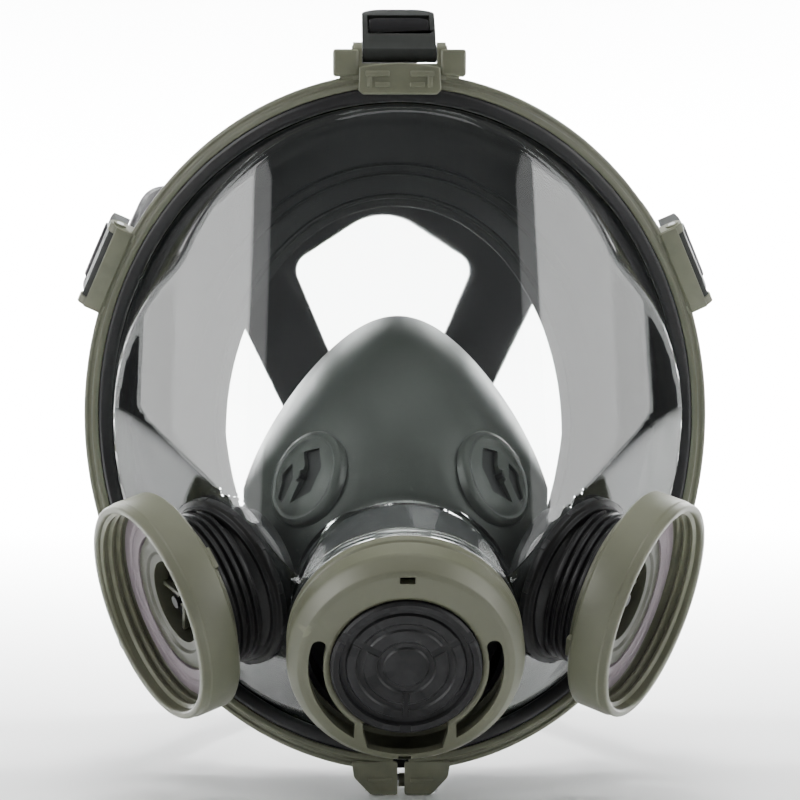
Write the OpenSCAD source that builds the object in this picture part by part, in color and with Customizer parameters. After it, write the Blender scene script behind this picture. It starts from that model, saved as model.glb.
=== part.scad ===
// Full face respirator: clear panoramic visor in a clamped oval frame, rubber face seal, inner nose cup,
// two threaded filter ports, a central exhalation port and a five-arm head harness with roller buckles.
// Frame: +Z up, -Y is the front of the mask, the origin is the centre of the face opening. Millimetres.

/* [Rim] */
// Half width of the oval rim that the visor and the seal meet in
rim_a = 98.6; // [90:0.1:106]
// Half height of the oval rim
rim_b = 105.5; // [98:0.1:112]
// Depth of the rim at the temples
rim_side_y = -20; // [-26:1:-14]
// Depth of the rim at the forehead
rim_top_y = -58; // [-64:1:-52]
// Depth of the rim at the chin
rim_chin_y = -70; // [-76:1:-64]

/* [Visor] */
// Wall thickness of the visor, measured front to back
visor_t = 2.6; // [2:0.1:3.5]
// How far the middle of the panel stands forward at mid height
panel_out = 92; // [86:1:98]
// How much the panel leans forward for each millimetre down
panel_lean = 0.3; // [0.2:0.01:0.36]

/* [Exhalation port] */
// Outer radius of the front cover
cover_r = 34.8; // [33:0.1:37]
// Radius of the black cap in the cover
cap_r = 22; // [20:0.1:23]
// How far the port axis points down, in degrees
exhale_dip = 24; // [18:1:30]

/* [Filter ports] */
// Outer radius of the threaded filter ring
ring_r = 34.5; // [33:0.1:36]
// Radius of the thread crests in the filter ring
thread_r = 30.6; // [29:0.1:31.5]
// Thread pitch
thread_pitch = 2.8; // [2:0.1:3.2]
// Angle of the port axis out from straight ahead, in degrees
port_yaw = 63.7; // [58:0.1:68]
// How far the port axis points down, in degrees
port_dip = 17.8; // [12:0.1:24]

/* [Harness] */
// Width of the harness arms at the buckles
strap_w = 18.6; // [16:0.1:19]
// Thickness of the harness rubber
strap_t = 1.6; // [1.2:0.1:1.8]
// How far the back plate sits behind the face opening
plate_y = 140; // [130:1:150]

/* [Hidden] */
$fn = 48;

olive = [0.40, 0.41, 0.33];
olive_dark = [0.20, 0.21, 0.17];
black = [0.07, 0.07, 0.07];
grey_rubber = [0.25, 0.27, 0.26];
dark_grey = [0.22, 0.24, 0.23];
clear = [0.85, 0.92, 0.90, 0.4];
lilac = [0.62, 0.58, 0.60];
steel = [0.7, 0.7, 0.72];
gap = 0.1;

// ---------- vectors and curves ----------
function unit(v) = v / norm(v);
function mix(a, b, s) = a * (1 - s) + b * s;
function smooth_min(a, b, k) = let (h = max(k - abs(a - b), 0) / k) min(a, b) - h * h * k / 4;
function smooth_max(a, b, k) = -smooth_min(-a, -b, k);
function bezier(p, s) = p[0] * pow(1 - s, 3) + p[1] * 3 * s * pow(1 - s, 2) + p[2] * 3 * s * s * (1 - s) + p[3] * pow(s, 3);
// Point at share s of a closed smooth curve through the points p (Catmull-Rom)
function round_loop(p, s) =
    let (n = len(p), x = s * n, i = floor(x), f = x - i,
         a = p[(i + n - 1) % n], b = p[i % n], c = p[(i + 1) % n], d = p[(i + 2) % n])
    0.5 * (2 * b + (c - a) * f + (2 * a - 5 * b + 4 * c - d) * f * f + (3 * b - a - 3 * c + d) * f * f * f);

// Solid between rings of points. A closed skin joins its last ring to its first; an open one has strip caps,
// for rings that run out along one side of a wall and back along the other.
// With a centre, given as its two points, a closed skin is filled across the middle instead of open there.
module skin(rings, closed = false, centre = []) {
    n = len(rings[0]);
    m = len(rings);
    open_at = len(centre) > 0 ? n / 2 - 1 : -1;
    walls = [for (i = [0 : (closed ? m : m - 1) - 1], j = [0 : n - 1]) if (j != open_at)
        let (a = i * n + j, b = i * n + (j + 1) % n, c = ((i + 1) % m) * n + (j + 1) % n, d = ((i + 1) % m) * n + j)
        each [[a, c, b], [a, d, c]]];
    caps = closed ? [] : [for (end = [0, m - 1], j = [0 : n / 2 - 2])
        let (a = end * n + j, b = end * n + j + 1, c = end * n + n - 2 - j, d = end * n + n - 1 - j)
        each end == 0 ? [[a, c, d], [a, b, c]] : [[a, d, c], [a, c, b]]];
    fans = open_at < 0 ? [] : [for (i = [0 : m - 1]) let (a = i * n + open_at, d = ((i + 1) % m) * n + open_at)
        each [[a, d, m * n], [d + 1, a + 1, m * n + 1]]];
    polyhedron(points = concat([for (r = rings) each r], centre), faces = concat(walls, caps, fans), convexity = 6);
}

// Child placed with its own X, Y and Z axes along the given directions
module framed(at, y, z) {
    x = cross(y, z);
    multmatrix([[x[0], y[0], z[0], at[0]], [x[1], y[1], z[1], at[1]], [x[2], y[2], z[2], at[2]], [0, 0, 0, 1]]) children();
}
module tube(r_out, r_in, z0, z1) {
    translate([0, 0, z0]) difference() {
        cylinder(r = r_out, h = z1 - z0);
        translate([0, 0, -1]) cylinder(r = r_in, h = z1 - z0 + 2);
    }
}

// ---------- the rim that everything meets in ----------
rim_steps = 64;
function rim_y(t) = rim_side_y * pow(cos(t), 2)
    + ((rim_top_y + rim_chin_y) / 2 + (rim_top_y - rim_chin_y) / 2 * sin(t)) * pow(sin(t), 2);
function rim_out(t) = unit([rim_b * cos(t), 0, rim_a * sin(t)]);
// Point at angle t, moved out by r and back by y
function rim_at(t, r, y) = [rim_a * cos(t), rim_y(t) + y, rim_b * sin(t)] + rim_out(t) * r;

// ---------- face seal ----------
// Edge of the face opening at angle t
function opening_at(t) = [
    57 * cos(t) * (1 - 0.14 * max(0, -sin(t))),
    -18 * pow(max(0, sin(t)), 2) - 30 * pow(max(0, -sin(t)), 2),
    -7 + (sin(t) > 0 ? 76 : 82) * sin(t)];
function seal_ring(t) =
    let (lip = rim_at(t, 2.2, 6.2),
         edge = opening_at(t),
         back = [0.915 * rim_a * cos(t), rim_y(t) + mix(34, 44, pow(cos(t), 2)), 0.93 * rim_b * sin(t)],
         inner = unit([cos(t), 0, sin(t)]))
    [rim_at(t, -1, 1.15), rim_at(t, -1, 2.7), rim_at(t, -4.7, 2.7), rim_at(t, -4.7, 4.75), rim_at(t, 2.2, 4.75),
     lip, mix(lip, back, 0.3) + inner * 1.2, mix(lip, back, 0.7) + inner * 1.6, back + inner * 0.4,
     back + [0, 2.6, 0] - inner * 3, mix(back, edge, 0.5) + [0, 2.2, 0], edge + [0, 0.8, 0],
     edge - [0, 0.8, 0], mix(back, edge, 0.5) - [0, 0.2, 0], back - inner * 4,
     mix(lip, back, 0.7) - inner * 2.2, mix(lip, back, 0.25) - inner * 4, rim_at(t, -7, 4.5), rim_at(t, -7, 1.15)];
module face_seal() {
    color(black) skin([for (i = [0 : rim_steps - 1]) seal_ring(360 * i / rim_steps)], closed = true);
}

// ---------- exhalation port placement ----------
exhale_at = [0, -122, -69];
exhale_axis = [0, -cos(exhale_dip), -sin(exhale_dip)];
module at_exhale() { translate(exhale_at) rotate([90 + exhale_dip, 0, 0]) children(); }

// ---------- filter port placement; side is 1 on the right and -1 on the left ----------
mouth_x = 77;
mouth_y = -86;
mouth_z = -57.2;
facet_depth = 29;
function port_axis(side) = [side * sin(port_yaw) * cos(port_dip), -cos(port_yaw) * cos(port_dip), -sin(port_dip)];
function mouth(side) = [side * mouth_x, mouth_y, mouth_z];
function facet_centre(side) = mouth(side) - port_axis(side) * facet_depth;
facet_x = 1.3;
facet_z = 0.55;
function facet_axis(side) = unit([side * facet_x, -1, -facet_z]);
module at_port(side) {
    translate(mouth(side)) rotate([0, 90 + port_dip, side > 0 ? port_yaw - 90 : 270 - port_yaw]) children();
}

// ---------- visor ----------
panel_r = 128;
wall_slope = 2.4;
flange_w = 6;
function panel_f(x, z) = panel_out - panel_lean * z - (panel_r - sqrt(pow(panel_r, 2) - x * x));
function chin_f(z) = 105.6 + tan(exhale_dip) * (z + 61.7);
function facet_f(x, z) = let (c = facet_centre(1)) -c[1] - facet_x * (abs(x) - c[0]) + facet_z * (z - c[2]);
// How far forward the visor's outer face stands at share s of the way from the middle to the rim
function visor_f(t, s) =
    let (x = (rim_a - 1.2) * s * cos(t), z = (rim_b - 1.2) * s * sin(t),
         edge = 1 - rim_y(t), d = max(0, (1 - s) * 100 - flange_w),
         ported = smooth_max(smooth_min(facet_f(x, z), chin_f(z), 8), edge + 3, 4))
    s > 0.99 ? edge : smooth_min(smooth_min(panel_f(x, z), ported, 3), edge + wall_slope * d, 4);
function visor_point(t, s, back) = [
    (rim_a - 1.2) * s * cos(t),
    -visor_f(t, s) + back * (s > 0.93 ? 2 : visor_t),
    (rim_b - 1.2) * s * sin(t)];
visor_shares = [1, 0.94, 0.9, 0.86, 0.82, 0.76, 0.68, 0.58, 0.46, 0.34, 0.2, 0.08];
module visor_shell() {
    n = len(visor_shares);
    skin([for (i = [0 : rim_steps - 1]) let (t = -360 * i / rim_steps)
        concat([for (s = visor_shares) visor_point(t, s, 0)],
               [for (j = [n - 1 : -1 : 0]) visor_point(t, visor_shares[j], 1)])],
        closed = true, centre = [visor_point(90, 0, 0), visor_point(90, 0, 1)]);
}
collar_r = 33.2;
collar_wall = 2;
collar_front = -14;
collar_step = -41;
collar_back = -54;
spigot_r = 25.5;
bore_r = 18.3;
module visor() {
    color(clear) difference() {
        union() {
            visor_shell();
            at_exhale() translate([0, 0, collar_step]) cylinder(r = collar_r, h = collar_front - collar_step);
            at_exhale() translate([0, 0, collar_back]) cylinder(r = spigot_r, h = collar_step - collar_back + 1);
        }
        at_exhale() translate([0, 0, collar_step + collar_wall])
            cylinder(r = collar_r - collar_wall, h = 60);
        at_exhale() translate([0, 0, collar_back - 20]) cylinder(r = spigot_r - collar_wall, h = 60);
        for (side = [-1, 1]) at_port(side) translate([0, 0, -50]) cylinder(r = bore_r, h = 40);
    }
}

// ---------- frame band, clamp and top clip ----------
// Direction along the rim at angle t, and the direction that faces back across it
function along(t) = unit(rim_at(t + 1, 0, 0) - rim_at(t - 1, 0, 0));
function backward(t) = cross(along(t), rim_out(t));
band_profile = [[-5.5, -2.9], [2, -2.9], [2, 4.6], [-4.5, 4.6], [-4.5, 2.85], [-0.85, 2.85], [-0.85, -1.15], [-5.5, -1.15]];
band_steps = 30;
band_end = 1.4;
module band(from, to) {
    skin([for (i = [0 : band_steps]) let (t = mix(from, to, i / band_steps))
        [for (p = band_profile) rim_at(t, p[0], p[1])]]);
}
// The five buckles: rim angle and how far each leans back from straight out, in degrees
buckle_t = [90, 154, 26, 220, -40];
buckle_lean = [56, 86, 86, 70, 70];
pin_out = [8.2, 5.8, 5.8, 5.8, 5.8];
pin_r = 1.25;
ear_in = 11.6;
ear_out = 14.4;
function pin_at(k) = rim_at(buckle_t[k], pin_out[k], 1);
function arm(k) = rim_out(buckle_t[k]) * cos(buckle_lean[k]) + backward(buckle_t[k]) * sin(buckle_lean[k]);
function arm_back(k) = cross(along(buckle_t[k]), arm(k));
module at_buckle(k) { framed(pin_at(k), arm(k), arm_back(k)) children(); }
// Frame at the lug: X along the rim, Y outward, Z back
module at_lug(k) { framed(pin_at(k), rim_out(buckle_t[k]), backward(buckle_t[k])) children(); }
module ear(k, side) {
    mid = side * (ear_in + ear_out) / 2;
    at_lug(k) difference() {
        union() {
            translate([mid, 0, 0]) rotate([0, 90, 0]) cylinder(r = 3.2, h = ear_out - ear_in, center = true);
            translate([mid, -pin_out[k] / 2 - 0.5, -0.1]) cube([ear_out - ear_in, pin_out[k] + 1, 6.4], center = true);
        }
        translate([mid, 0, 0]) rotate([0, 90, 0]) cylinder(r = pin_r, h = 10, center = true);
    }
}
crest_w = 15.6;
clamp_z = -rim_b - 5.2;
clamp_hole = 2.1;
module band_half(side) {
    from = side > 0 ? -90 + band_end : 90 + band_end;
    cheek = side > 0 ? 4 : 3;
    temple = side > 0 ? 2 : 1;
    color(olive) {
        band(from, from + 180 - 2 * band_end);
        for (k = [cheek, temple], e = [-1, 1]) ear(k, e);
        ear(0, -side);
        at_lug(0) translate([-side * (3 + crest_w / 2), -6.2, -0.1]) cube([crest_w, 4.6, 5.6], center = true);
        difference() {
            translate([side * 5.4, rim_chin_y + 1, clamp_z + 0.9]) cube([6, 7.2, 9], center = true);
            translate([0, rim_chin_y + 1, clamp_z]) rotate([0, 90, 0]) cylinder(r = clamp_hole, h = 40, center = true);
        }
    }
}
module frame_band_left() { band_half(-1); }
module frame_band_right() { band_half(1); }
module clamp_screw() {
    color(steel) translate([0, rim_chin_y + 1, clamp_z]) rotate([0, 90, 0]) {
        translate([0, 0, -8.6]) cylinder(r = 2, h = 20);
        difference() {
            translate([0, 0, -10.9]) cylinder(r = 3.4, h = 2.45);
            translate([0, 0, -10.9]) cube([0.9, 8, 2], center = true);
        }
    }
}
module clamp_nut() {
    color(steel) translate([0, rim_chin_y + 1, clamp_z]) rotate([0, 90, 0]) difference() {
        translate([0, 0, 8.5]) cylinder(r = 3.9, h = 2.8, $fn = 6);
        translate([0, 0, 8]) cylinder(r = 2.05, h = 6);
    }
}
clip_w = 25.6;
module top_clip() {
    color(olive) translate([0, rim_top_y - 3.1, rim_b - 0.3]) {
        translate([-clip_w / 2, -2.2, -4.8]) cube([clip_w, 2.2, 9.4]);
        for (side = [-1, 1]) translate([side * 7, -2.9, -0.1]) cube([7.6, 2.4, 6], center = true);
        translate([0, -2.8, -0.1]) cube([3, 2.4, 4.4], center = true);
    }
}

// ---------- buckles, rollers and pins ----------
buckle_w = 22.8;
buckle_l = 21.5;
window_w = 19.4;
window_from = 6.2;
window_to = 17.6;
roller_y = 11.9;
roller_r = 2.4;
journal_r = 1.1;
module buckle(k) {
    color(grey_rubber) at_buckle(k) difference() {
        union() {
            rotate([0, 90, 0]) cylinder(r = 3.1, h = buckle_w, center = true);
            translate([-buckle_w / 2, 0, -2.4]) cube([buckle_w, buckle_l, 4.8]);
            intersection() {
                translate([0, buckle_l / 2, 19.2]) rotate([0, 90, 0]) cylinder(r = 23, h = buckle_w, center = true);
                translate([-buckle_w / 2, 1.5, -3.8]) cube([buckle_w, buckle_l - 2, 3]);
            }
        }
        translate([-window_w / 2, window_from, -10]) cube([window_w, window_to - window_from, 20]);
        rotate([0, 90, 0]) cylinder(r = pin_r, h = 40, center = true);
        translate([0, roller_y, 0]) rotate([0, 90, 0]) cylinder(r = journal_r + 0.05, h = window_w + 2.2, center = true);
    }
}
module roller(k) {
    color(black) at_buckle(k) translate([0, roller_y, 0]) rotate([0, 90, 0]) {
        cylinder(r = journal_r, h = window_w + 1.8, center = true);
        difference() {
            cylinder(r = roller_r, h = window_w - 0.4, center = true);
            for (i = [0 : 9]) rotate(36 * i) translate([roller_r + 0.3, 0, 0])
                cylinder(r = 0.55, h = 40, center = true);
        }
    }
}
module pin(k) {
    color(steel) at_buckle(k) rotate([0, 90, 0]) cylinder(r = pin_r - 0.05, h = 2 * ear_out + 0.8, center = true);
}
module buckle_top() { buckle(0); }
module buckle_temple_left() { buckle(1); }
module buckle_temple_right() { buckle(2); }
module buckle_cheek_left() { buckle(3); }
module buckle_cheek_right() { buckle(4); }
module roller_top() { roller(0); }
module roller_temple_left() { roller(1); }
module roller_temple_right() { roller(2); }
module roller_cheek_left() { roller(3); }
module roller_cheek_right() { roller(4); }
module pin_top() { pin(0); }
module pin_temple_left() { pin(1); }
module pin_temple_right() { pin(2); }
module pin_cheek_left() { pin(3); }
module pin_cheek_right() { pin(4); }

// ---------- head harness ----------
plate_t = 2;
corner_x = 38;
corner_z = 48;
corner_r = 22;
crown_z = 48;
crown_r = 46;
apex_z = -22;
apex_r = 26;
plate_web = 25;
// Where each arm leaves the plate, and its direction there as an angle from +X in the plate's plane
arm_angle = [90, 150, 30, 228, -48];
arm_from = [[0, crown_z], [-corner_x, corner_z], [corner_x, corner_z], [0, apex_z], [0, apex_z]];
arm_reach = [crown_r, corner_r, corner_r, apex_r, apex_r];
module plate_outline(inset) {
    hull() {
        for (side = [-1, 1]) translate([side * (corner_x - inset * 0.5), corner_z]) circle(r = corner_r - inset * 0.6);
        translate([0, crown_z]) circle(r = crown_r - inset);
        translate([0, apex_z + inset * 0.5]) circle(r = apex_r - inset * 0.7);
    }
}
module harness_plate() {
    color(black) translate([0, plate_y + plate_t / 2, 0]) rotate([90, 0, 0]) linear_extrude(plate_t) difference() {
        plate_outline(0);
        plate_outline(plate_web);
    }
}
strap_gap = 0.5;
strap_lead = 24;
strap_tail = 14;
module strap(k) {
    a = arm_angle[k];
    go = [cos(a), 0, sin(a)];
    across = [-sin(a), 0, cos(a)];
    start = pin_at(k) + arm(k) * strap_lead + arm_back(k) * (roller_r + strap_gap + strap_t / 2);
    foot = [arm_from[k][0], plate_y, arm_from[k][1]] + go * (arm_reach[k] + 0.3);
    reach = norm(foot - start);
    route = [start - arm(k) * 0.01, start + arm(k) * reach * (k == 0 ? 0.12 : 0.2),
             foot + (go * 0.9 - [0, 0.5, 0]) * reach * 0.35, foot];
    side0 = along(buckle_t[k]);
    side1 = side0 * across > 0 ? across : -across;
    color(black) {
        skin([for (i = [0 : 14]) let (s = i / 14,
                at = bezier(route, s),
                run = unit(bezier(route, s + 0.01) - bezier(route, s - 0.01)),
                width = mix(side0, side1, s),
                w = unit(width - run * (width * run)),
                n = cross(w, run),
                half = mix(strap_w, 22, s) / 2)
            [at - w * half + n * strap_t / 2, at + w * half + n * strap_t / 2,
             at + w * half - n * strap_t / 2, at - w * half - n * strap_t / 2]]);
        at_buckle(k) rotate([90, 0, 90]) linear_extrude(strap_w, center = true) {
            difference() {
                translate([roller_y, 0]) circle(r = roller_r + strap_gap + strap_t);
                translate([roller_y, 0]) circle(r = roller_r + strap_gap);
                translate([roller_y, -20]) square([20, 40]);
            }
            translate([roller_y - 0.01, roller_r + strap_gap]) square([strap_lead - roller_y + 0.02, strap_t]);
            translate([roller_y - 0.01, -roller_r - strap_gap - strap_t]) square([strap_tail - roller_y, strap_t]);
        }
    }
}
module strap_top() { strap(0); }
module strap_temple_left() { strap(1); }
module strap_temple_right() { strap(2); }
module strap_cheek_left() { strap(3); }
module strap_cheek_right() { strap(4); }

// ---------- nose cup and check valves ----------
cup_t = 2.2;
hub_r = spigot_r + 0.15;
hub_z = -50;
function exhale_point(x, y, z) = exhale_at + [x, -sin(exhale_dip) * y, cos(exhale_dip) * y] + exhale_axis * z;
function cup_back(t, r) = [
    (46 + r) * cos(t) * (1 - 0.34 * max(0, sin(t))),
    -20 - 16 * pow(max(0, sin(t)), 2) + 4 * pow(cos(t), 2),
    -24 + ((sin(t) > 0 ? 53 : 50) + r) * sin(t)];
function cup_hub(t, r) = exhale_point((hub_r + r) * cos(t), (hub_r + r) * sin(t), hub_z);
function cup_route(t, r) = let (b = cup_back(t, r), h = cup_hub(t, r))
    [b, b + [1.5 * cos(t), -30, 2 * sin(t)], h - exhale_axis * 4 + [13 * cos(t), -2, 12 * sin(t)], h];
function cup_point(t, s, r) = bezier(cup_route(t, r), s);
cup_steps = 44;
cup_shares = [0, 0.12, 0.26, 0.4, 0.54, 0.68, 0.82, 0.93, 1];
module cup_skin() {
    m = len(cup_shares);
    skin([for (i = [0 : cup_steps - 1]) let (t = -360 * i / cup_steps)
        concat([cup_back(t, -9) + [0, 5, 0]],
               [for (s = cup_shares) cup_point(t, s, cup_t)],
               [cup_hub(t, cup_t) + exhale_axis * 3, cup_hub(t, 0) + exhale_axis * 3],
               [for (j = [m - 1 : -1 : 0]) cup_point(t, cup_shares[j], 0)],
               [cup_back(t, -9) + [0, 3.6, 0]])], closed = true);
}
check_t = 38;
check_s = 0.66;
check_r = 15;
function check_angle(side) = side > 0 ? check_t : 180 - check_t;
function check_at(side) = cup_point(check_angle(side), check_s, cup_t / 2);
function check_axis(side) = let (t = check_angle(side),
        u = cup_point(t + 4, check_s, 1) - cup_point(t - 4, check_s, 1),
        v = cup_point(t, check_s + 0.08, 1) - cup_point(t, check_s - 0.08, 1), n = unit(cross(u, v)))
    n[1] > 0 ? -n : n;
module at_check(side) {
    axis = check_axis(side);
    up = unit([0, 0, 1] - axis * axis[2]);
    framed(check_at(side), up, axis) children();
}
module nose_cup() {
    color(dark_grey) difference() {
        cup_skin();
        for (side = [-1, 1]) at_check(side) cylinder(r = check_r - 1.4, h = 30, center = true);
    }
}
module check_seat(side) {
    color(grey_rubber) at_check(side) difference() {
        union() {
            translate([0, 0, -5.2]) cylinder(r = check_r - 1.5, h = 8.4);
            translate([0, 0, 2]) cylinder(r = check_r, h = 2.6);
        }
        translate([0, 0, -6]) cylinder(r = check_r - 3, h = 7.8);
        for (row = [0, 1]) translate([side * (row * -8.2 + 3.4), 0, 0]) for (half = [-1, 1])
            linear_extrude(20) polygon([[-2, 0], [2, 0], [side * 3 + 1, half * (9 - 2.4 * row)],
                [side * 3 - 2.4, half * (9 - 2.4 * row)]]);
        translate([0, 0, -10]) cylinder(r = 1.15, h = 30);
    }
}
module check_disc(side) {
    color(black) at_check(side) {
        translate([0, 0, 0.9]) cylinder(r = check_r - 3.4, h = 0.7);
        translate([0, 0, 0.9]) cylinder(r = 1.1, h = 3.4);
        translate([0, 0, -2.4]) cylinder(r = 2.2, h = 3.4);
    }
}
module check_seat_left() { check_seat(-1); }
module check_seat_right() { check_seat(1); }
module check_disc_left() { check_disc(-1); }
module check_disc_right() { check_disc(1); }

// ---------- front port ----------
module spokes(r, w, h, n) {
    for (i = [0 : n - 1]) rotate(360 / n * i + 90) translate([0, -w / 2, 0]) cube([r, w, h]);
}
module collar_insert() {
    color(clear) at_exhale() tube(cover_r - 0.3, collar_r + gap, -21.5, -16.2);
}
housing_r = collar_r - collar_wall - 0.1;
valve_y = -14;
valve_r = 12;
speech_y = 13.6;
speech_r = 13;
plate_z = -24;
module valve_housing() {
    color(dark_grey) at_exhale() {
        tube(housing_r, housing_r - 2.2, collar_step + collar_wall + gap, -14.5);
        difference() {
            translate([0, 0, plate_z - 2.4]) cylinder(r = housing_r - 1, h = 2.4);
            translate([0, valve_y, plate_z - 4]) cylinder(r = valve_r - 2, h = 8);
            translate([0, speech_y, plate_z - 4]) cylinder(r = speech_r - 1.6, h = 8);
        }
        translate([0, valve_y, 0]) {
            tube(valve_r - 1, valve_r - 2.01, plate_z - 0.01, plate_z + 1);
            difference() {
                union() {
                    translate([0, 0, plate_z - 2.4]) spokes(valve_r - 1.5, 1.4, 2, 4);
                    translate([0, 0, plate_z - 2.4]) cylinder(r = 2.6, h = 2.4);
                }
                translate([0, 0, plate_z - 5]) cylinder(r = 1.2, h = 10);
            }
        }
        translate([0, speech_y, 0]) tube(speech_r + 1.2, speech_r + gap, plate_z - 0.01, plate_z + 1.6);
    }
}
module exhalation_disc() {
    color(black) at_exhale() translate([0, valve_y, plate_z]) {
        translate([0, 0, 1.03]) cylinder(r = valve_r, h = 0.8);
        translate([0, 0, 0.6]) cylinder(r = 2.4, h = 0.6);
        translate([0, 0, -5.2]) cylinder(r = 1.15, h = 6);
        translate([0, 0, -5.2]) cylinder(r = 1.9, h = 0.7);
    }
}
module speech_diaphragm() {
    color(steel) at_exhale() translate([0, speech_y, plate_z]) {
        translate([0, 0, 0.05]) cylinder(r = speech_r, h = 0.4);
        tube(speech_r, speech_r - 1.8, 0.4, 1.2);
    }
}
module front_cap() {
    color(black) at_exhale() {
        difference() {
            translate([0, 0, -3]) cylinder(r = cap_r, h = 3.2);
            for (r = [8, 12.4, 16.6]) tube(r + 0.9, r - 0.9, -0.7, 1);
            for (i = [0 : 2]) rotate(120 * i - 90) translate([9, -1.5, -0.9]) cube([20, 3, 3]);
        }
        tube(cap_r, cap_r - 2.2, -1, 1.2);
    }
}
slot_in = 25.2;
slot_out = 29.4;
module front_cover() {
    color(olive) at_exhale() difference() {
        rotate_extrude() polygon([[cap_r + gap, -3.4], [cap_r + gap, -0.4], [cap_r + 1.4, 0.4], [30.6, 0.4], [cover_r, -4.6],
            [cover_r, -16], [collar_r + 0.2, -16], [collar_r + 0.2, -13.6], [32.4, -13.6], [32.4, -5], [29.8, -2.4]]);
        for (side = [-1, 1]) intersection() {
            tube(slot_out, slot_in, -8, 4);
            rotate(side > 0 ? -52 : 162) linear_extrude(30, center = true)
                polygon([[0, 0], [60 * cos(70), 60 * sin(70)], [60, 60], [60, 0]]);
        }
        linear_extrude(30, center = true) polygon([[-12.6, -19], [12.6, -19], [11, -29.4], [-11, -29.4]]);
        for (y = [-32, 25.6]) translate([0, y, 0]) cube([4.6, 2.2, 12], center = true);
    }
}

// ---------- filter ports ----------
neck_r = 24;
tube_r = bore_r - 0.4;
tube_in = 15.6;
ring_floor = -13;
nut_r = 20.4;
// Everything on the mask's side of a plane square to the facet, h above the facet's outer face
module below_facet(side, h) {
    axis = facet_axis(side);
    framed(facet_centre(side) + axis * h, unit([0, 0, 1] - axis * axis[2]), axis) translate([-50, -50, -100]) cube(100);
}
module filter_ring(side) {
    color(olive) at_port(side) difference() {
        union() {
            translate([0, 0, ring_floor]) cylinder(r = ring_r, h = -ring_floor);
            translate([0, 0, ring_floor - 3.4]) cylinder(r = 27, h = 4);
        }
        translate([0, 0, ring_floor + 2.6]) cylinder(r = thread_r + 1.1, h = 20);
        translate([0, 0, ring_floor - 5]) cylinder(r = tube_r + gap, h = 20);
    }
    color(olive) at_port(side) for (i = [0 : 2]) translate([0, 0, -8.2 + i * thread_pitch]) rotate_extrude()
        polygon([[thread_r + 1.3, -1.1], [thread_r, -0.3], [thread_r, 0.3], [thread_r + 1.3, 1.1]]);
}
module filter_gasket(side) {
    color(lilac) at_port(side) tube(30.2, 21.6, ring_floor + 2.65, ring_floor + 4);
}
module inhalation_seat(side) {
    color(olive_dark) at_port(side) {
        difference() {
            union() {
                translate([0, 0, ring_floor + 2.65]) cylinder(r = 20.6, h = 1.4);
                translate([0, 0, ring_floor - 2]) cylinder(r = tube_in - 0.1, h = 5);
            }
            translate([0, 0, ring_floor - 3]) cylinder(r = tube_in - 2.6, h = 10);
        }
        difference() {
            union() {
                translate([0, 0, ring_floor - 2]) spokes(tube_in - 2, 1.5, 2.4, 5);
                translate([0, 0, ring_floor - 2]) cylinder(r = 3, h = 2.8);
            }
            translate([0, 0, ring_floor - 3]) cylinder(r = 1.2, h = 8);
        }
    }
}
module inhalation_disc(side) {
    color(black) at_port(side) translate([0, 0, ring_floor - 2]) {
        translate([0, 0, -0.85]) cylinder(r = tube_in - 0.8, h = 0.8);
        translate([0, 0, -0.85]) cylinder(r = 1.15, h = 6);
        translate([0, 0, 4.6]) cylinder(r = 1.9, h = 0.7);
    }
}
module port_neck(side) {
    color(black) difference() {
        at_port(side) {
            translate([0, 0, -facet_depth - 14]) cylinder(r = tube_r, h = facet_depth + 14 + ring_floor + 2.5);
            difference() {
                translate([0, 0, -facet_depth - 4]) cylinder(r = neck_r, h = facet_depth + 4 + ring_floor - 3.5);
                for (i = [0 : 2]) tube(neck_r + 2, neck_r - 1.2, ring_floor - 6 - 2.6 * i, ring_floor - 4.8 - 2.6 * i);
            }
        }
        at_port(side) translate([0, 0, -60]) cylinder(r = tube_in, h = 60);
        difference() {
            below_facet(side, 4.05);
            at_port(side) translate([0, 0, -60]) cylinder(r = tube_r, h = 60);
        }
    }
}
module port_flange(side) {
    axis = facet_axis(side);
    color(olive_dark) difference() {
        framed(facet_centre(side), unit([0, 0, 1] - axis * axis[2]), axis) translate([0, 0, 0.1]) {
            cylinder(r = 27, h = 2.4);
            cylinder(r = 25, h = 3.9);
        }
        at_port(side) translate([0, 0, -60]) cylinder(r = tube_r + gap, h = 60);
    }
}
module port_nut(side) {
    color(black) difference() {
        at_port(side) translate([0, 0, -facet_depth - 10.5]) cylinder(r = nut_r, h = 12);
        at_port(side) translate([0, 0, -60]) cylinder(r = tube_r + gap, h = 60);
        difference() {
            at_port(side) translate([0, 0, -60]) cylinder(r = 40, h = 60);
            below_facet(side, -3.0);
        }
    }
}
module filter_ring_left() { filter_ring(-1); }
module filter_ring_right() { filter_ring(1); }
module filter_gasket_left() { filter_gasket(-1); }
module filter_gasket_right() { filter_gasket(1); }
module inhalation_seat_left() { inhalation_seat(-1); }
module inhalation_seat_right() { inhalation_seat(1); }
module inhalation_disc_left() { inhalation_disc(-1); }
module inhalation_disc_right() { inhalation_disc(1); }
module port_neck_left() { port_neck(-1); }
module port_neck_right() { port_neck(1); }
module port_flange_left() { port_flange(-1); }
module port_flange_right() { port_flange(1); }
module port_nut_left() { port_nut(-1); }
module port_nut_right() { port_nut(1); }

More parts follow.
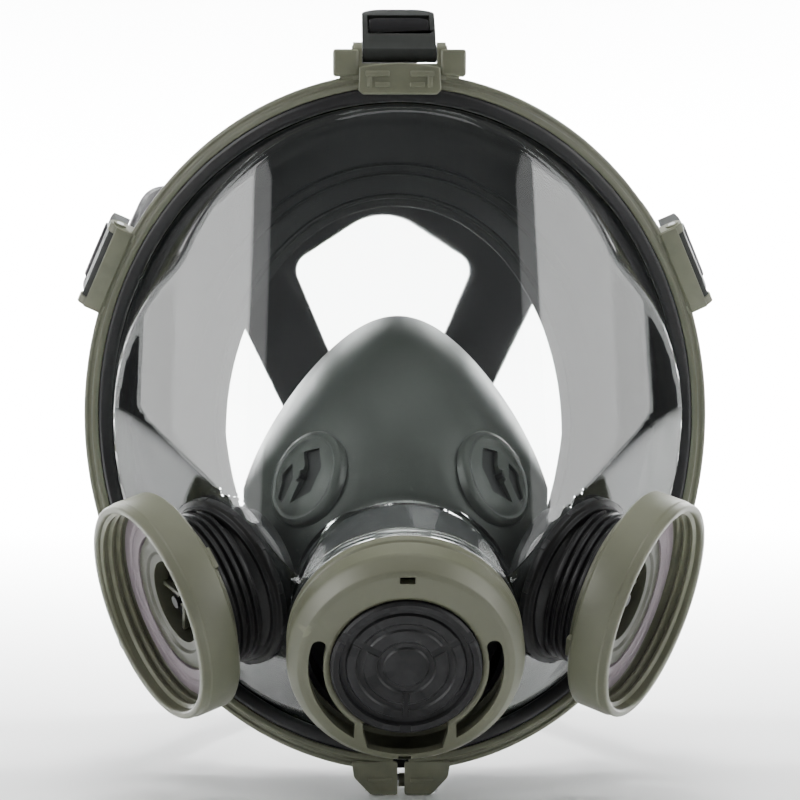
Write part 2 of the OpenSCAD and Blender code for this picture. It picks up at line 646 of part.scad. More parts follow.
face_seal();
visor();
frame_band_left();
frame_band_right();
clamp_screw();
clamp_nut();
top_clip();
nose_cup();
check_seat_left();
check_seat_right();
check_disc_left();
check_disc_right();
collar_insert();
valve_housing();
exhalation_disc();
speech_diaphragm();
front_cap();
front_cover();
filter_ring_left();
filter_ring_right();
filter_gasket_left();
filter_gasket_right();
inhalation_seat_left();
inhalation_seat_right();
inhalation_disc_left();
inhalation_disc_right();
port_neck_left();
port_neck_right();
port_flange_left();
port_flange_right();
port_nut_left();
port_nut_right();
buckle_top();
buckle_temple_left();
buckle_temple_right();
buckle_cheek_left();
buckle_cheek_right();
roller_top();
roller_temple_left();
roller_temple_right();
roller_cheek_left();
roller_cheek_right();
pin_top();
pin_temple_left();
pin_temple_right();
pin_cheek_left();
pin_cheek_right();
harness_plate();
strap_top();
strap_temple_left();
strap_temple_right();
strap_cheek_left();
strap_cheek_right();
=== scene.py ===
"""Full face respirator: a clear panoramic visor in a clamped oval frame, with a rubber seal, an inner nose
cup, two threaded filter ports, a front exhalation port and a five-arm harness with roller buckles."""

import math
from types import SimpleNamespace

import bpy
import bmesh
from mathutils import Matrix, Vector


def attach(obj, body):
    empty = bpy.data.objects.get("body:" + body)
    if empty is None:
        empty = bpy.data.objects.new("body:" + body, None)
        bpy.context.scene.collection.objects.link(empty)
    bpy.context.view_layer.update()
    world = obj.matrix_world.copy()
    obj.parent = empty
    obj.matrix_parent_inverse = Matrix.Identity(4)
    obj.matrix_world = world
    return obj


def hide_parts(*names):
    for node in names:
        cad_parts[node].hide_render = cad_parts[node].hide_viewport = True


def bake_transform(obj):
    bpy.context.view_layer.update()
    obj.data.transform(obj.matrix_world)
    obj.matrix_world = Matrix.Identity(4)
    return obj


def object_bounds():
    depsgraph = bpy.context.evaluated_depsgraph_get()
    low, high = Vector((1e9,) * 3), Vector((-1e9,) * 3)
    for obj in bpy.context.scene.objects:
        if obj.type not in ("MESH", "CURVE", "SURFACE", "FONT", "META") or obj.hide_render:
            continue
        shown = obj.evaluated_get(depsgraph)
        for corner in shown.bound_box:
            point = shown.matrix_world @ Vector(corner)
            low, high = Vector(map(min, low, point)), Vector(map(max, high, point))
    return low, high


bl_info = {
    "name": "Full Face Respirator",
    "version": (1, 0, 0),
    "blender": (4, 5, 0),
    "location": "View3D > Sidebar > Respirator",
    "description": "Builds the moulded, clear and rubber pieces of a full face respirator on its frame",
    "category": "Add Mesh",
}

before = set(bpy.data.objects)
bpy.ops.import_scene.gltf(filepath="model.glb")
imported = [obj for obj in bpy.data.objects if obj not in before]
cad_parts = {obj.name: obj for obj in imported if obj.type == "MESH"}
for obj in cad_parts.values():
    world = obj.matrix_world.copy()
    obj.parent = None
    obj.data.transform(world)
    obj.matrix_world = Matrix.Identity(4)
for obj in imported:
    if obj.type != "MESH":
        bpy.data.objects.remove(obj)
CAD_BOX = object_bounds()
MM = 0.001
TURN = 2 * math.pi


# ---------- settings ----------
def length(name, default, description):
    """A length, given here in millimetres and kept in metres."""
    return bpy.props.FloatProperty(name=name, default=default * MM, description=description, unit="LENGTH")


def angle(name, default, description):
    """An angle, given here in degrees and kept in radians."""
    return bpy.props.FloatProperty(
        name=name, default=math.radians(default), description=description, unit="ROTATION")


def ratio(name, default, description):
    return bpy.props.FloatProperty(name=name, default=default, description=description)


def colour(name, default, description):
    return bpy.props.FloatVectorProperty(
        name=name, default=default, description=description, subtype="COLOR", size=3, min=0, max=1)


class RimSettings(bpy.types.PropertyGroup):
    half_width: length("Half width", 98.6, "Half width of the oval rim")
    half_height: length("Half height", 105.5, "Half height of the oval rim")
    side_y: length("Side depth", -20.0, "Depth of the rim at the temples")
    top_y: length("Top depth", -58.0, "Depth of the rim at the forehead")
    chin_y: length("Chin depth", -70.0, "Depth of the rim at the chin")


class VisorSettings(bpy.types.PropertyGroup):
    wall: length("Wall", 2.6, "Visor wall, front to back")
    panel_out: length("Panel", 92.0, "How far the panel stands forward at mid height")
    panel_lean: ratio("Lean", 0.3, "Forward lean of the panel for each millimetre down")
    panel_radius: length("Panel radius", 128.0, "Radius of the panel's curve from side to side")
    wall_slope: ratio("Side slope", 2.4, "Slope of the side walls")


class PortSettings(bpy.types.PropertyGroup):
    cover_radius: length("Cover radius", 34.8, "Outer radius of the front cover")
    cap_radius: length("Cap radius", 22.0, "Radius of the cap in the front cover")
    exhale_dip: angle("Front port dip", 24.0, "How far the front port points down")
    ring_radius: length("Ring radius", 34.5, "Outer radius of a filter ring")
    thread_radius: length("Thread radius", 30.6, "Radius of the filter thread's crests")
    thread_pitch: length("Thread pitch", 2.8, "Pitch of the filter thread")
    yaw: angle("Filter port yaw", 63.7, "Filter port axis, out from straight ahead")
    dip: angle("Filter port dip", 17.8, "How far a filter port points down")


class HarnessSettings(bpy.types.PropertyGroup):
    strap_width: length("Strap width", 18.6, "Width of an arm at its buckle")
    strap_wall: length("Strap thickness", 1.6, "Thickness of the arms")
    plate_y: length("Plate depth", 140.0, "How far the plate sits behind the face opening")


class FinishSettings(bpy.types.PropertyGroup):
    olive: colour("Olive", (0.122, 0.126, 0.082), "Moulded olive plastic")
    black: colour("Black", (0.0075, 0.0075, 0.008), "Black rubber and plastic")
    grey: colour("Cup grey", (0.040, 0.044, 0.040), "Rubber of the nose cup")
    buckle: colour("Buckle", (0.020, 0.022, 0.020), "Plastic of the buckles")
    gasket: colour("Gasket", (0.24, 0.20, 0.22), "Pale rubber of the filter gaskets")
    tint: colour("Visor tint", (0.955, 0.985, 0.97), "Tint of the clear plastic")


class StageSettings(bpy.types.PropertyGroup):
    distance: length("Camera distance", 942.0, "Camera to the object")
    azimuth: angle("Azimuth", -1.8, "Camera azimuth")
    elevation: angle("Elevation", 2.0, "Camera elevation")
    lens: bpy.props.FloatProperty(name="Lens", default=128.0, description="Focal length", unit="CAMERA")


SETTINGS = {
    "rim": RimSettings, "visor": VisorSettings, "port": PortSettings, "harness": HarnessSettings,
    "finish": FinishSettings, "stage": StageSettings,
}
CHOSEN = {}


def read_settings():
    """Take the panel's values: lengths in millimetres, angles in degrees."""
    factors = {"LENGTH": 1 / MM, "ROTATION": 360 / TURN}
    for group, kind in SETTINGS.items():
        source = getattr(bpy.context.scene, "respirator_" + group)
        values = {}
        for name, made in kind.__annotations__.items():
            value = getattr(source, name)
            factor = factors.get(made.keywords.get("unit"))
            values[name] = round(value * factor, 4) if factor else value
        CHOSEN[group] = SimpleNamespace(**values)


def setting(group):
    return CHOSEN[group]


# ---------- curves ----------
def sin(t):
    return math.sin(math.radians(t))


def cos(t):
    return math.cos(math.radians(t))


def mix(a, b, s):
    return a * (1 - s) + b * s


def smooth_min(a, b, k):
    h = max(k - abs(a - b), 0) / k
    return min(a, b) - h * h * k / 4


def smooth_max(a, b, k):
    return -smooth_min(-a, -b, k)


def smooth_step(x, low, high):
    s = min(1, max(0, (x - low) / (high - low)))
    return s * s * (3 - 2 * s)


def bezier(p, s):
    return p[0] * (1 - s) ** 3 + p[1] * (3 * s * (1 - s) ** 2) + p[2] * (3 * s * s * (1 - s)) + p[3] * s ** 3


def round_loop(points, x, corners=()):
    """Point x steps along a closed curve through the points, straight between two corners."""
    n = len(points)
    i = math.floor(x) % n
    f = x - math.floor(x)
    a, b, c, d = (points[(i + k) % n] for k in (-1, 0, 1, 2))
    if i in corners and (i + 1) % n in corners:
        return mix(b, c, f)
    if i in corners:
        a = b
    if (i + 1) % n in corners:
        d = c
    bend, twist = 2 * a - 5 * b + 4 * c - d, 3 * b - a - 3 * c + d
    return 0.5 * (2 * b + (c - a) * f + bend * f * f + twist * f ** 3)


# ---------- the rim, the same oval as the frame's ----------
def rim_y(t):
    rim = setting("rim")
    ends = (rim.top_y + rim.chin_y) / 2 + (rim.top_y - rim.chin_y) / 2 * sin(t)
    return rim.side_y * cos(t) ** 2 + ends * sin(t) ** 2


def rim_out(t):
    rim = setting("rim")
    return Vector((rim.half_height * cos(t), 0, rim.half_width * sin(t))).normalized()


def rim_at(t, r, y):
    rim = setting("rim")
    return Vector((rim.half_width * cos(t), rim_y(t) + y, rim.half_height * sin(t))) + rim_out(t) * r


def along(t):
    return (rim_at(t + 1, 0, 0) - rim_at(t - 1, 0, 0)).normalized()


def backward(t):
    return along(t).cross(rim_out(t))


# ---------- places ----------
def placed(at, y, z):
    """Matrix of a frame at a point, with its own Y and Z along the given directions."""
    x = y.cross(z)
    return Matrix((
        (x.x, y.x, z.x, at.x),
        (x.y, y.y, z.y, at.y),
        (x.z, y.z, z.z, at.z),
        (0, 0, 0, 1),
    ))


def facing(y, z):
    """Turn about the origin that lays a frame's own Y and Z along the given directions."""
    return placed(Vector((0, 0, 0)), y, z)


def upright(at, z):
    up = Vector((0, 0, 1))
    return placed(at, (up - z * z.dot(up)).normalized(), z)


EXHALE_AT = Vector((0, -122, -69))


def exhale_axis():
    dip = setting("port").exhale_dip
    return Vector((0, -cos(dip), -sin(dip)))


def exhale_frame():
    return upright(EXHALE_AT, exhale_axis())


def exhale_point(x, y, z):
    return exhale_frame() @ Vector((x, y, z))


def port_axis(side):
    port = setting("port")
    return Vector((side * sin(port.yaw) * cos(port.dip), -cos(port.yaw) * cos(port.dip), -sin(port.dip)))


def mouth(side):
    return Vector((side * 77, -86, -57.2))


def port_frame(side):
    return upright(mouth(side), port_axis(side))


FACET_DEPTH = 29
FACET_X = 1.3
FACET_Z = 0.55


def facet_centre(side):
    return mouth(side) - port_axis(side) * FACET_DEPTH


def facet_axis(side):
    return Vector((side * FACET_X, -1, -FACET_Z)).normalized()


SIDES = ((-1, "left"), (1, "right"))
BUCKLES = ("top", "temple_left", "temple_right", "cheek_left", "cheek_right")
BUCKLE_T = (90, 154, 26, 220, -40)
BUCKLE_LEAN = (56, 86, 86, 70, 70)
PIN_OUT = (8.2, 5.8, 5.8, 5.8, 5.8)


def pin_at(k):
    return rim_at(BUCKLE_T[k], PIN_OUT[k], 1)


def arm(k):
    return rim_out(BUCKLE_T[k]) * cos(BUCKLE_LEAN[k]) + backward(BUCKLE_T[k]) * sin(BUCKLE_LEAN[k])


def arm_back(k):
    return along(BUCKLE_T[k]).cross(arm(k))


def buckle_frame(k):
    return placed(pin_at(k), arm(k), arm_back(k))


def lug_frame(k):
    return placed(pin_at(k), rim_out(BUCKLE_T[k]), backward(BUCKLE_T[k]))


# ---------- mesh helpers, all in millimetres until a piece is finished ----------
def grid(bm, columns, rows, place):
    """A sheet whose points go where place(u, v) says, with its seams closed."""
    made = bmesh.ops.create_grid(bm, x_segments=columns, y_segments=rows, size=0.5, calc_uvs=True)
    for vert in made["verts"]:
        vert.co = place(vert.co.x + 0.5, vert.co.y + 0.5)
    bmesh.ops.remove_doubles(bm, verts=made["verts"], dist=1e-4)
    return [v for v in made["verts"] if v.is_valid]


def spun(bm, profile, matrix, steps=128):
    """A closed profile of (radius, height) points turned once round the frame's Z."""
    verts = [bm.verts.new((r, 0, z)) for r, z in profile]
    edges = [bm.edges.new((a, b)) for a, b in zip(verts, verts[1:] + verts[:1])]
    before = set(bm.verts) - set(verts)
    bmesh.ops.spin(bm, geom=verts + edges, cent=(0, 0, 0), axis=(0, 0, 1), angle=TURN,
                   steps=steps, use_merge=True, use_duplicate=False)
    ring = [v for v in bm.verts if v not in before]
    bmesh.ops.remove_doubles(bm, verts=ring, dist=1e-4)
    ring = [v for v in bm.verts if v.is_valid and v not in before]
    bmesh.ops.transform(bm, matrix=matrix, verts=ring)
    return ring


def prism(bm, outline, low, high, matrix):
    """An outline of (x, y) points, pushed out from low to high along the frame's Z."""
    face = bm.faces.new([bm.verts.new((x, y, low)) for x, y in outline])
    made = bmesh.ops.extrude_face_region(bm, geom=[face])["geom"]
    top = [v for v in made if isinstance(v, bmesh.types.BMVert)]
    bmesh.ops.translate(bm, verts=top, vec=(0, 0, high - low))
    verts = list(face.verts) + top
    bmesh.ops.transform(bm, matrix=matrix, verts=verts)
    return verts


def block(bm, centre, size, matrix, corner=0.0):
    made = bmesh.ops.create_cube(bm, size=1.0)
    bmesh.ops.scale(bm, vec=size, verts=made["verts"])
    bmesh.ops.translate(bm, vec=centre, verts=made["verts"])
    verts = made["verts"]
    if corner:
        edges = list({e for v in verts for e in v.link_edges})
        out = bmesh.ops.bevel(bm, geom=edges, offset=corner, segments=3, profile=0.5, affect="EDGES",
                              material=-1)
        verts = list({v for f in out["faces"] for v in f.verts})
    bmesh.ops.transform(bm, matrix=matrix, verts=verts)
    return verts


def rod(bm, radius, low, high, matrix, segments=48, corner=0.0):
    if corner:
        half = [(0, low), (radius - corner, low), (radius, low + corner), (radius, high - corner),
                (radius - corner, high), (0, high)]
    else:
        half = [(0, low), (radius, low), (radius, high), (0, high)]
    return spun(bm, half, matrix, segments)


ALONG_X = Matrix.Rotation(math.pi / 2, 4, "Y")


def arc(radius, start, end, count, centre=(0, 0)):
    return [(centre[0] + radius * cos(mix(start, end, i / count)),
             centre[1] + radius * sin(mix(start, end, i / count))) for i in range(count + 1)]


def rounded(profile, size=0.5, segments=3):
    """A closed profile with each corner rounded."""
    out = []
    n = len(profile)
    for i in range(n):
        a, b, c = (Vector(profile[(i + k) % n]) for k in (-1, 0, 1))
        back, on = a - b, c - b
        cut = min(size, back.length * 0.45, on.length * 0.45)
        start, end = b + back.normalized() * cut, b + on.normalized() * cut
        for s in range(segments + 1):
            f = s / segments
            out.append(tuple(start * (1 - f) ** 2 + b * (2 * f * (1 - f)) + end * f * f))
    return out


def as_object(bm, name):
    mesh = bpy.data.meshes.new(name)
    bm.to_mesh(mesh)
    bm.free()
    piece = bpy.data.objects.new(name, mesh)
    bpy.context.collection.objects.link(piece)
    return piece


def settled(piece):
    """The piece with its modifiers applied to its mesh."""
    graph = bpy.context.evaluated_depsgraph_get()
    mesh = bpy.data.meshes.new_from_object(piece.evaluated_get(graph), depsgraph=graph)
    old = piece.data
    piece.modifiers.clear()
    piece.data = mesh
    bpy.data.meshes.remove(old)


def carve(bm, name, changes):
    """A solid with others cut away from it or joined to it, in order: (operation, solid)."""
    bmesh.ops.recalc_face_normals(bm, faces=bm.faces)
    piece = as_object(bm, name)
    tools = []
    for i, (operation, solid) in enumerate(changes):
        bmesh.ops.recalc_face_normals(solid, faces=solid.faces)
        tool = as_object(solid, "%s_tool_%d" % (name, i))
        tools.append(tool)
        change = piece.modifiers.new("change_%d" % i, "BOOLEAN")
        change.operation = operation
        change.solver = "EXACT"
        change.object = tool
    settled(piece)
    for tool in tools:
        mesh = tool.data
        bpy.data.objects.remove(tool)
        bpy.data.meshes.remove(mesh)
    out = bmesh.new()
    out.from_mesh(piece.data)
    old = piece.data
    bpy.data.objects.remove(piece)
    bpy.data.meshes.remove(old)
    if len(out.faces) < 8:
        raise RuntimeError(name + " was lost in its cuts")
    return out


def piece_from(bm, name, body, node, finish, edge=0.0, sharp=32, turn_out=True):
    """Finish a piece that stands for a node: metres, smooth shading up to the sharp angle, rounded edges."""
    bmesh.ops.remove_doubles(bm, verts=bm.verts, dist=1e-4)
    bmesh.ops.dissolve_degenerate(bm, dist=1e-5, edges=bm.edges)
    if turn_out:
        bmesh.ops.recalc_face_normals(bm, faces=bm.faces)
    bmesh.ops.scale(bm, vec=(MM, MM, MM), verts=bm.verts)
    limit = math.radians(sharp)
    for face in bm.faces:
        face.smooth = True
    for line in bm.edges:
        line.smooth = not (line.is_manifold and line.calc_face_angle(0) > limit)
    piece = as_object(bm, name)
    piece.data.materials.append(finish)
    if edge:
        bevel = piece.modifiers.new("Edges", "BEVEL")
        bevel.width = edge * MM
        bevel.segments = 2
        bevel.limit_method = "ANGLE"
        bevel.angle_limit = math.radians(40)
    if body:
        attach(piece, body)
    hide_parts(node)
    return piece


# ---------- finishes ----------
class Nodes:
    """A material's node tree, with short ways to add and join nodes."""

    def __init__(self, name):
        self.material = bpy.data.materials.new(name)
        self.material.use_nodes = True
        self.tree = self.material.node_tree
        self.shader = self.tree.nodes["Principled BSDF"]
        self.output = self.tree.nodes["Material Output"]
        self.coords = self.add("ShaderNodeTexCoord")

    def add(self, kind, **values):
        node = self.tree.nodes.new(kind)
        for key, value in values.items():
            setattr(node, key, value)
        return node

    def join(self, out, into):
        self.tree.links.new(out, into)

    def noise(self, scale, detail=3.0, roughness=0.5, stretch=None):
        node = self.add("ShaderNodeTexNoise")
        node.inputs["Scale"].default_value = scale
        node.inputs["Detail"].default_value = detail
        node.inputs["Roughness"].default_value = roughness
        source = self.coords.outputs["Object"]
        if stretch:
            mapping = self.add("ShaderNodeMapping")
            mapping.inputs["Scale"].default_value = stretch
            self.join(source, mapping.inputs["Vector"])
            source = mapping.outputs["Vector"]
        self.join(source, node.inputs["Vector"])
        return node.outputs["Fac"]

    def spread(self, source, low, high, start=0.3, end=0.7):
        node = self.add("ShaderNodeMapRange")
        node.inputs["From Min"].default_value = start
        node.inputs["From Max"].default_value = end
        node.inputs["To Min"].default_value = low
        node.inputs["To Max"].default_value = high
        self.join(source, node.inputs["Value"])
        return node.outputs["Result"]

    def ramp(self, source, stops):
        node = self.add("ShaderNodeValToRGB")
        ramp = node.color_ramp
        while len(ramp.elements) < len(stops):
            ramp.elements.new(0.5)
        for element, (place, tone) in zip(ramp.elements, stops):
            element.position = place
            element.color = (*tone, 1)
        self.join(source, node.inputs["Fac"])
        return node.outputs["Color"]

    def blend(self, share, a, tone):
        node = self.add("ShaderNodeMix", data_type="RGBA")
        self.join(share, node.inputs[0])
        self.join(a, node.inputs[6])
        node.inputs[7].default_value = (*tone, 1)
        return node.outputs[2]

    def bump(self, height, strength, distance, below=None):
        node = self.add("ShaderNodeBump")
        node.inputs["Strength"].default_value = strength
        node.inputs["Distance"].default_value = distance
        self.join(height, node.inputs["Height"])
        if below:
            self.join(below, node.inputs["Normal"])
        return node.outputs["Normal"]


def shade(tone, factor):
    return tuple(min(1, c * factor) for c in tone)


FINISHES = {}


def moulded(name, tone, rough, wear=1.35, mottle=0.1, shine=0.5):
    """Moulded plastic: fine spark-eroded grain, slow mottling, polished and lighter edges."""
    n = Nodes(name)
    slow = n.noise(38, 4)
    base = n.ramp(slow, [(0.25, shade(tone, 1 - mottle)), (0.75, shade(tone, 1 + mottle))])
    edges = n.add("ShaderNodeNewGeometry").outputs["Pointiness"]
    worn = n.spread(edges, 0, 1, 0.515, 0.56)
    scuffed = n.add("ShaderNodeMath", operation="MULTIPLY")
    n.join(worn, scuffed.inputs[0])
    n.join(n.spread(n.noise(160, 5), 0.3, 1, 0.35, 0.6), scuffed.inputs[1])
    n.join(n.blend(scuffed.outputs[0], base, shade(tone, wear)), n.shader.inputs["Base Color"])
    n.join(n.spread(n.noise(75, 4), rough - 0.07, rough + 0.09), n.shader.inputs["Roughness"])
    fine = n.bump(n.noise(1900, 2), 0.32, 0.00004)
    n.join(n.bump(n.noise(30, 2), 0.12, 0.0005, fine), n.shader.inputs["Normal"])
    n.shader.inputs["Specular IOR Level"].default_value = shine
    FINISHES[name] = n.material


def rubber(name, tone, rough, sheen=0.0, bloom=0.35):
    """Moulded rubber: matte skin with a faint bloom, fine pores and a few dust specks."""
    n = Nodes(name)
    cloud = n.noise(22, 5, 0.6)
    base = n.ramp(cloud, [(0.3, shade(tone, 0.82)), (0.72, shade(tone, 1.0 + bloom))])
    specks = n.spread(n.noise(900, 1), 0, 0.35, 0.73, 0.79)
    n.join(n.blend(specks, base, shade(tone, 3.2)), n.shader.inputs["Base Color"])
    n.join(n.spread(n.noise(48, 5), rough - 0.09, rough + 0.11), n.shader.inputs["Roughness"])
    pores = n.bump(n.noise(1400, 3), 0.25, 0.00005)
    n.join(n.bump(n.noise(45, 3), 0.15, 0.0006, pores), n.shader.inputs["Normal"])
    n.shader.inputs["Specular IOR Level"].default_value = 0.36
    n.shader.inputs["Sheen Weight"].default_value = sheen
    n.shader.inputs["Sheen Roughness"].default_value = 0.45
    FINISHES[name] = n.material


def ribbed_rubber(name, tone, rough, ribs):
    """Strap rubber with fine cross ribs that follow the strap's own length."""
    n = Nodes(name)
    cloud = n.noise(25, 5, 0.6)
    n.join(n.ramp(cloud, [(0.3, shade(tone, 0.8)), (0.72, shade(tone, 1.5))]), n.shader.inputs["Base Color"])
    n.join(n.spread(n.noise(60, 4), rough - 0.08, rough + 0.1), n.shader.inputs["Roughness"])
    wave = n.add("ShaderNodeTexWave", wave_type="BANDS", bands_direction="Y")
    wave.inputs["Scale"].default_value = ribs
    wave.inputs["Distortion"].default_value = 0.0
    n.join(n.coords.outputs["UV"], wave.inputs["Vector"])
    pores = n.bump(n.noise(1300, 3), 0.25, 0.00005)
    n.join(n.bump(wave.outputs["Fac"], 0.5, 0.0004, pores), n.shader.inputs["Normal"])
    n.shader.inputs["Specular IOR Level"].default_value = 0.18
    FINISHES[name] = n.material


def clear_plastic(name, tint, rough=0.02):
    """Hard clear plastic with faint handling haze and fine scratches; lamps shine through it."""
    n = Nodes(name)
    n.shader.inputs["Base Color"].default_value = (*tint, 1)
    n.shader.inputs["Transmission Weight"].default_value = 1.0
    n.shader.inputs["IOR"].default_value = 1.49
    haze = n.spread(n.noise(14, 6, 0.65), rough, rough + 0.035, 0.45, 0.8)
    n.join(haze, n.shader.inputs["Roughness"])
    scratches = n.noise(260, 2, 0.5, (1.0, 1.0, 0.04))
    ripple = n.bump(n.noise(9, 1), 0.12, 0.0006)
    n.join(n.bump(scratches, 0.03, 0.0001, ripple), n.shader.inputs["Normal"])
    passing = n.add("ShaderNodeBsdfTransparent")
    passing.inputs["Color"].default_value = (*tint, 1)
    lamps = n.add("ShaderNodeLightPath")
    both = n.add("ShaderNodeMixShader")
    n.join(lamps.outputs["Is Shadow Ray"], both.inputs[0])
    n.join(n.shader.outputs[0], both.inputs[1])
    n.join(passing.outputs[0], both.inputs[2])
    n.join(both.outputs[0], n.output.inputs["Surface"])
    FINISHES[name] = n.material


def turned_steel(name, tone):
    n = Nodes(name)
    n.shader.inputs["Metallic"].default_value = 1.0
    streaks = n.noise(420, 3, 0.5, (0.08, 1.0, 1.0))
    metal = n.ramp(streaks, [(0.3, shade(tone, 0.75)), (0.7, shade(tone, 1.15))])
    n.join(metal, n.shader.inputs["Base Color"])
    n.join(n.spread(n.noise(120, 4), 0.22, 0.42), n.shader.inputs["Roughness"])
    n.join(n.bump(streaks, 0.2, 0.00004), n.shader.inputs["Normal"])
    FINISHES[name] = n.material


class RESPIRATOR_OT_finishes(bpy.types.Operator):
    """Make the finishes and put them on the frame's own nodes"""
    bl_idname = "respirator.finishes"
    bl_label = "Finishes"

    def execute(self, context):
        read_settings()
        tones = setting("finish")
        moulded("olive plastic", tones.olive, 0.44)
        moulded("dark olive plastic", shade(tones.olive, 0.42), 0.42)
        moulded("black plastic", tones.black, 0.42, wear=2.6, mottle=0.25, shine=0.3)
        moulded("buckle plastic", tones.buckle, 0.58, wear=1.5, mottle=0.14, shine=0.2)
        rubber("seal rubber", tones.black, 0.42, sheen=0.02)
        rubber("cup rubber", tones.grey, 0.4, bloom=0.2)
        rubber("gasket rubber", tones.gasket, 0.5, sheen=0.1, bloom=0.12)
        ribbed_rubber("strap rubber", tones.black, 0.62, 22)
        clear_plastic("visor plastic", tones.tint)
        turned_steel("steel", (0.62, 0.62, 0.64))
        carried = {
            "black plastic": ("valve_housing", "port_nut_left", "port_nut_right"),
            "seal rubber": ("exhalation_disc", "inhalation_disc_left", "inhalation_disc_right",
                            "check_disc_left", "check_disc_right"),
            "steel": ("clamp_screw", "clamp_nut", "speech_diaphragm", *("pin_" + b for b in BUCKLES)),
        }
        for finish, names in carried.items():
            for name in names:
                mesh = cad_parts[name].data
                mesh.materials.clear()
                mesh.materials.append(FINISHES[finish])
        return {"FINISHED"}


# ---------- visor ----------
FLANGE = 6
RIM_INSET = 1.2
CHIN_OUT = 105.6
CHIN_Z = -61.7


def facet_f(x, z):
    """How far forward the plane of the filter ports' facets stands."""
    c = facet_centre(1)
    return -c.y - FACET_X * (abs(x) - c.x) + FACET_Z * (z - c.z)


def panel_f(x, z):
    """How far forward the front panel stands, curved from side to side and leaning out at the chin."""
    visor = setting("visor")
    radius = visor.panel_radius
    return visor.panel_out - visor.panel_lean * z - (radius - math.sqrt(radius ** 2 - x * x))


def visor_point(t, share, back):
    """Outer or inner face of the visor at angle t and a share of the way out to the rim."""
    rim, visor = setting("rim"), setting("visor")
    x = (rim.half_width - RIM_INSET) * share * cos(t)
    z = (rim.half_height - RIM_INSET) * share * sin(t)
    edge = 1 - rim_y(t)
    d = max(0, (1 - share) * 100 - FLANGE)
    chin = CHIN_OUT + math.tan(math.radians(setting("port").exhale_dip)) * (z - CHIN_Z)
    ported = smooth_max(smooth_min(facet_f(x, z), chin, 6), edge + 3, 4)
    body = smooth_min(panel_f(x, z), ported, 2)
    slope = visor.wall_slope * (1 + 4 * cos(t) ** 2 * smooth_step(0.6 - sin(t), 0, 0.6))
    out = edge if share > 0.99 else smooth_min(body, edge + slope * d, 3)
    flat = smooth_step(share, 0.9, 0.935)
    return Vector((x, -out + back * mix(visor.wall, 2, flat), z))


COLLAR_R = 33.2
COLLAR_WALL = 2
COLLAR_STEP = -41
COLLAR_BACK = -54
SPIGOT_R = 25.5
BORE_R = 18.3


def share_at(v):
    """Half of the visor's rows lie in its outer fifth, where the wall turns up from the flange."""
    return 1 - 0.4 * v if v < 0.5 else 1.6 * (1 - v)


class RESPIRATOR_OT_visor(bpy.types.Operator):
    """The clear visor with its collar for the front port and its two port holes"""
    bl_idname = "respirator.visor"
    bl_label = "Visor"

    def execute(self, context):
        read_settings()
        bm = bmesh.new()
        for back in (0, 1):
            grid(bm, 240, 84, lambda u, v: visor_point(360 * u, share_at(v), back))
        loops = [e for e in bm.edges if e.is_boundary]
        bmesh.ops.bridge_loops(bm, edges=loops)
        bmesh.ops.remove_doubles(bm, verts=bm.verts, dist=1e-4)
        place = exhale_frame()
        collar = bmesh.new()
        spun(collar, [(0, COLLAR_BACK), (SPIGOT_R, COLLAR_BACK), (SPIGOT_R, COLLAR_STEP),
                      (COLLAR_R, COLLAR_STEP), (COLLAR_R, -14), (0, -14)], place, 96)
        hollow = bmesh.new()
        spun(hollow, [(0, COLLAR_BACK - 8), (SPIGOT_R - COLLAR_WALL, COLLAR_BACK - 8),
                      (SPIGOT_R - COLLAR_WALL, COLLAR_STEP + COLLAR_WALL),
                      (COLLAR_R - COLLAR_WALL, COLLAR_STEP + COLLAR_WALL),
                      (COLLAR_R - COLLAR_WALL, 12), (0, 12)], place, 96)
        bores = bmesh.new()
        for side in (-1, 1):
            spun(bores, [(0, -50), (BORE_R, -50), (BORE_R, -10), (0, -10)], port_frame(side), 72)
        bm = carve(bm, "visor_shell", [("UNION", collar), ("DIFFERENCE", hollow), ("DIFFERENCE", bores)])
        piece_from(bm, "clear_visor", "mask", "visor", FINISHES["visor plastic"], sharp=20,
                   turn_out=False)
        return {"FINISHED"}


# ---------- face seal ----------
def opening_at(t):
    low, high = max(0, -sin(t)), max(0, sin(t))
    return Vector((57 * cos(t) * (1 - 0.14 * low), -18 * high ** 2 - 30 * low ** 2,
                   -7 + (76 if sin(t) > 0 else 82) * sin(t)))


SEAL_CORNERS = (0, 1, 2, 3, 4, 5, 17, 18)


def seal_section(t):
    """Closed section of the seal: rebate for the frame, side wall, face flap with a beaded edge."""
    rim = setting("rim")
    lip, edge = rim_at(t, 2.2, 6.2), opening_at(t)
    back = Vector((0.915 * rim.half_width * cos(t), rim_y(t) + mix(34, 44, cos(t) ** 2),
                   0.93 * rim.half_height * sin(t)))
    inner = Vector((cos(t), 0, sin(t)))
    deep = Vector((0, 1, 0))
    return [
        rim_at(t, -1, 1.15), rim_at(t, -1, 2.7), rim_at(t, -4.7, 2.7), rim_at(t, -4.7, 4.75),
        rim_at(t, 2.2, 4.75), lip, mix(lip, back, 0.3) + inner * 1.2, mix(lip, back, 0.7) + inner * 1.6,
        back + inner * 0.4, back + deep * 2.6 - inner * 3, mix(back, edge, 0.5) + deep * 2.2,
        edge + deep * 1.1, edge - deep * 1.1, mix(back, edge, 0.5) - deep * 0.2, back - inner * 4,
        mix(lip, back, 0.7) - inner * 2.2, mix(lip, back, 0.25) - inner * 4, rim_at(t, -7, 4.5),
        rim_at(t, -7, 1.15),
    ]


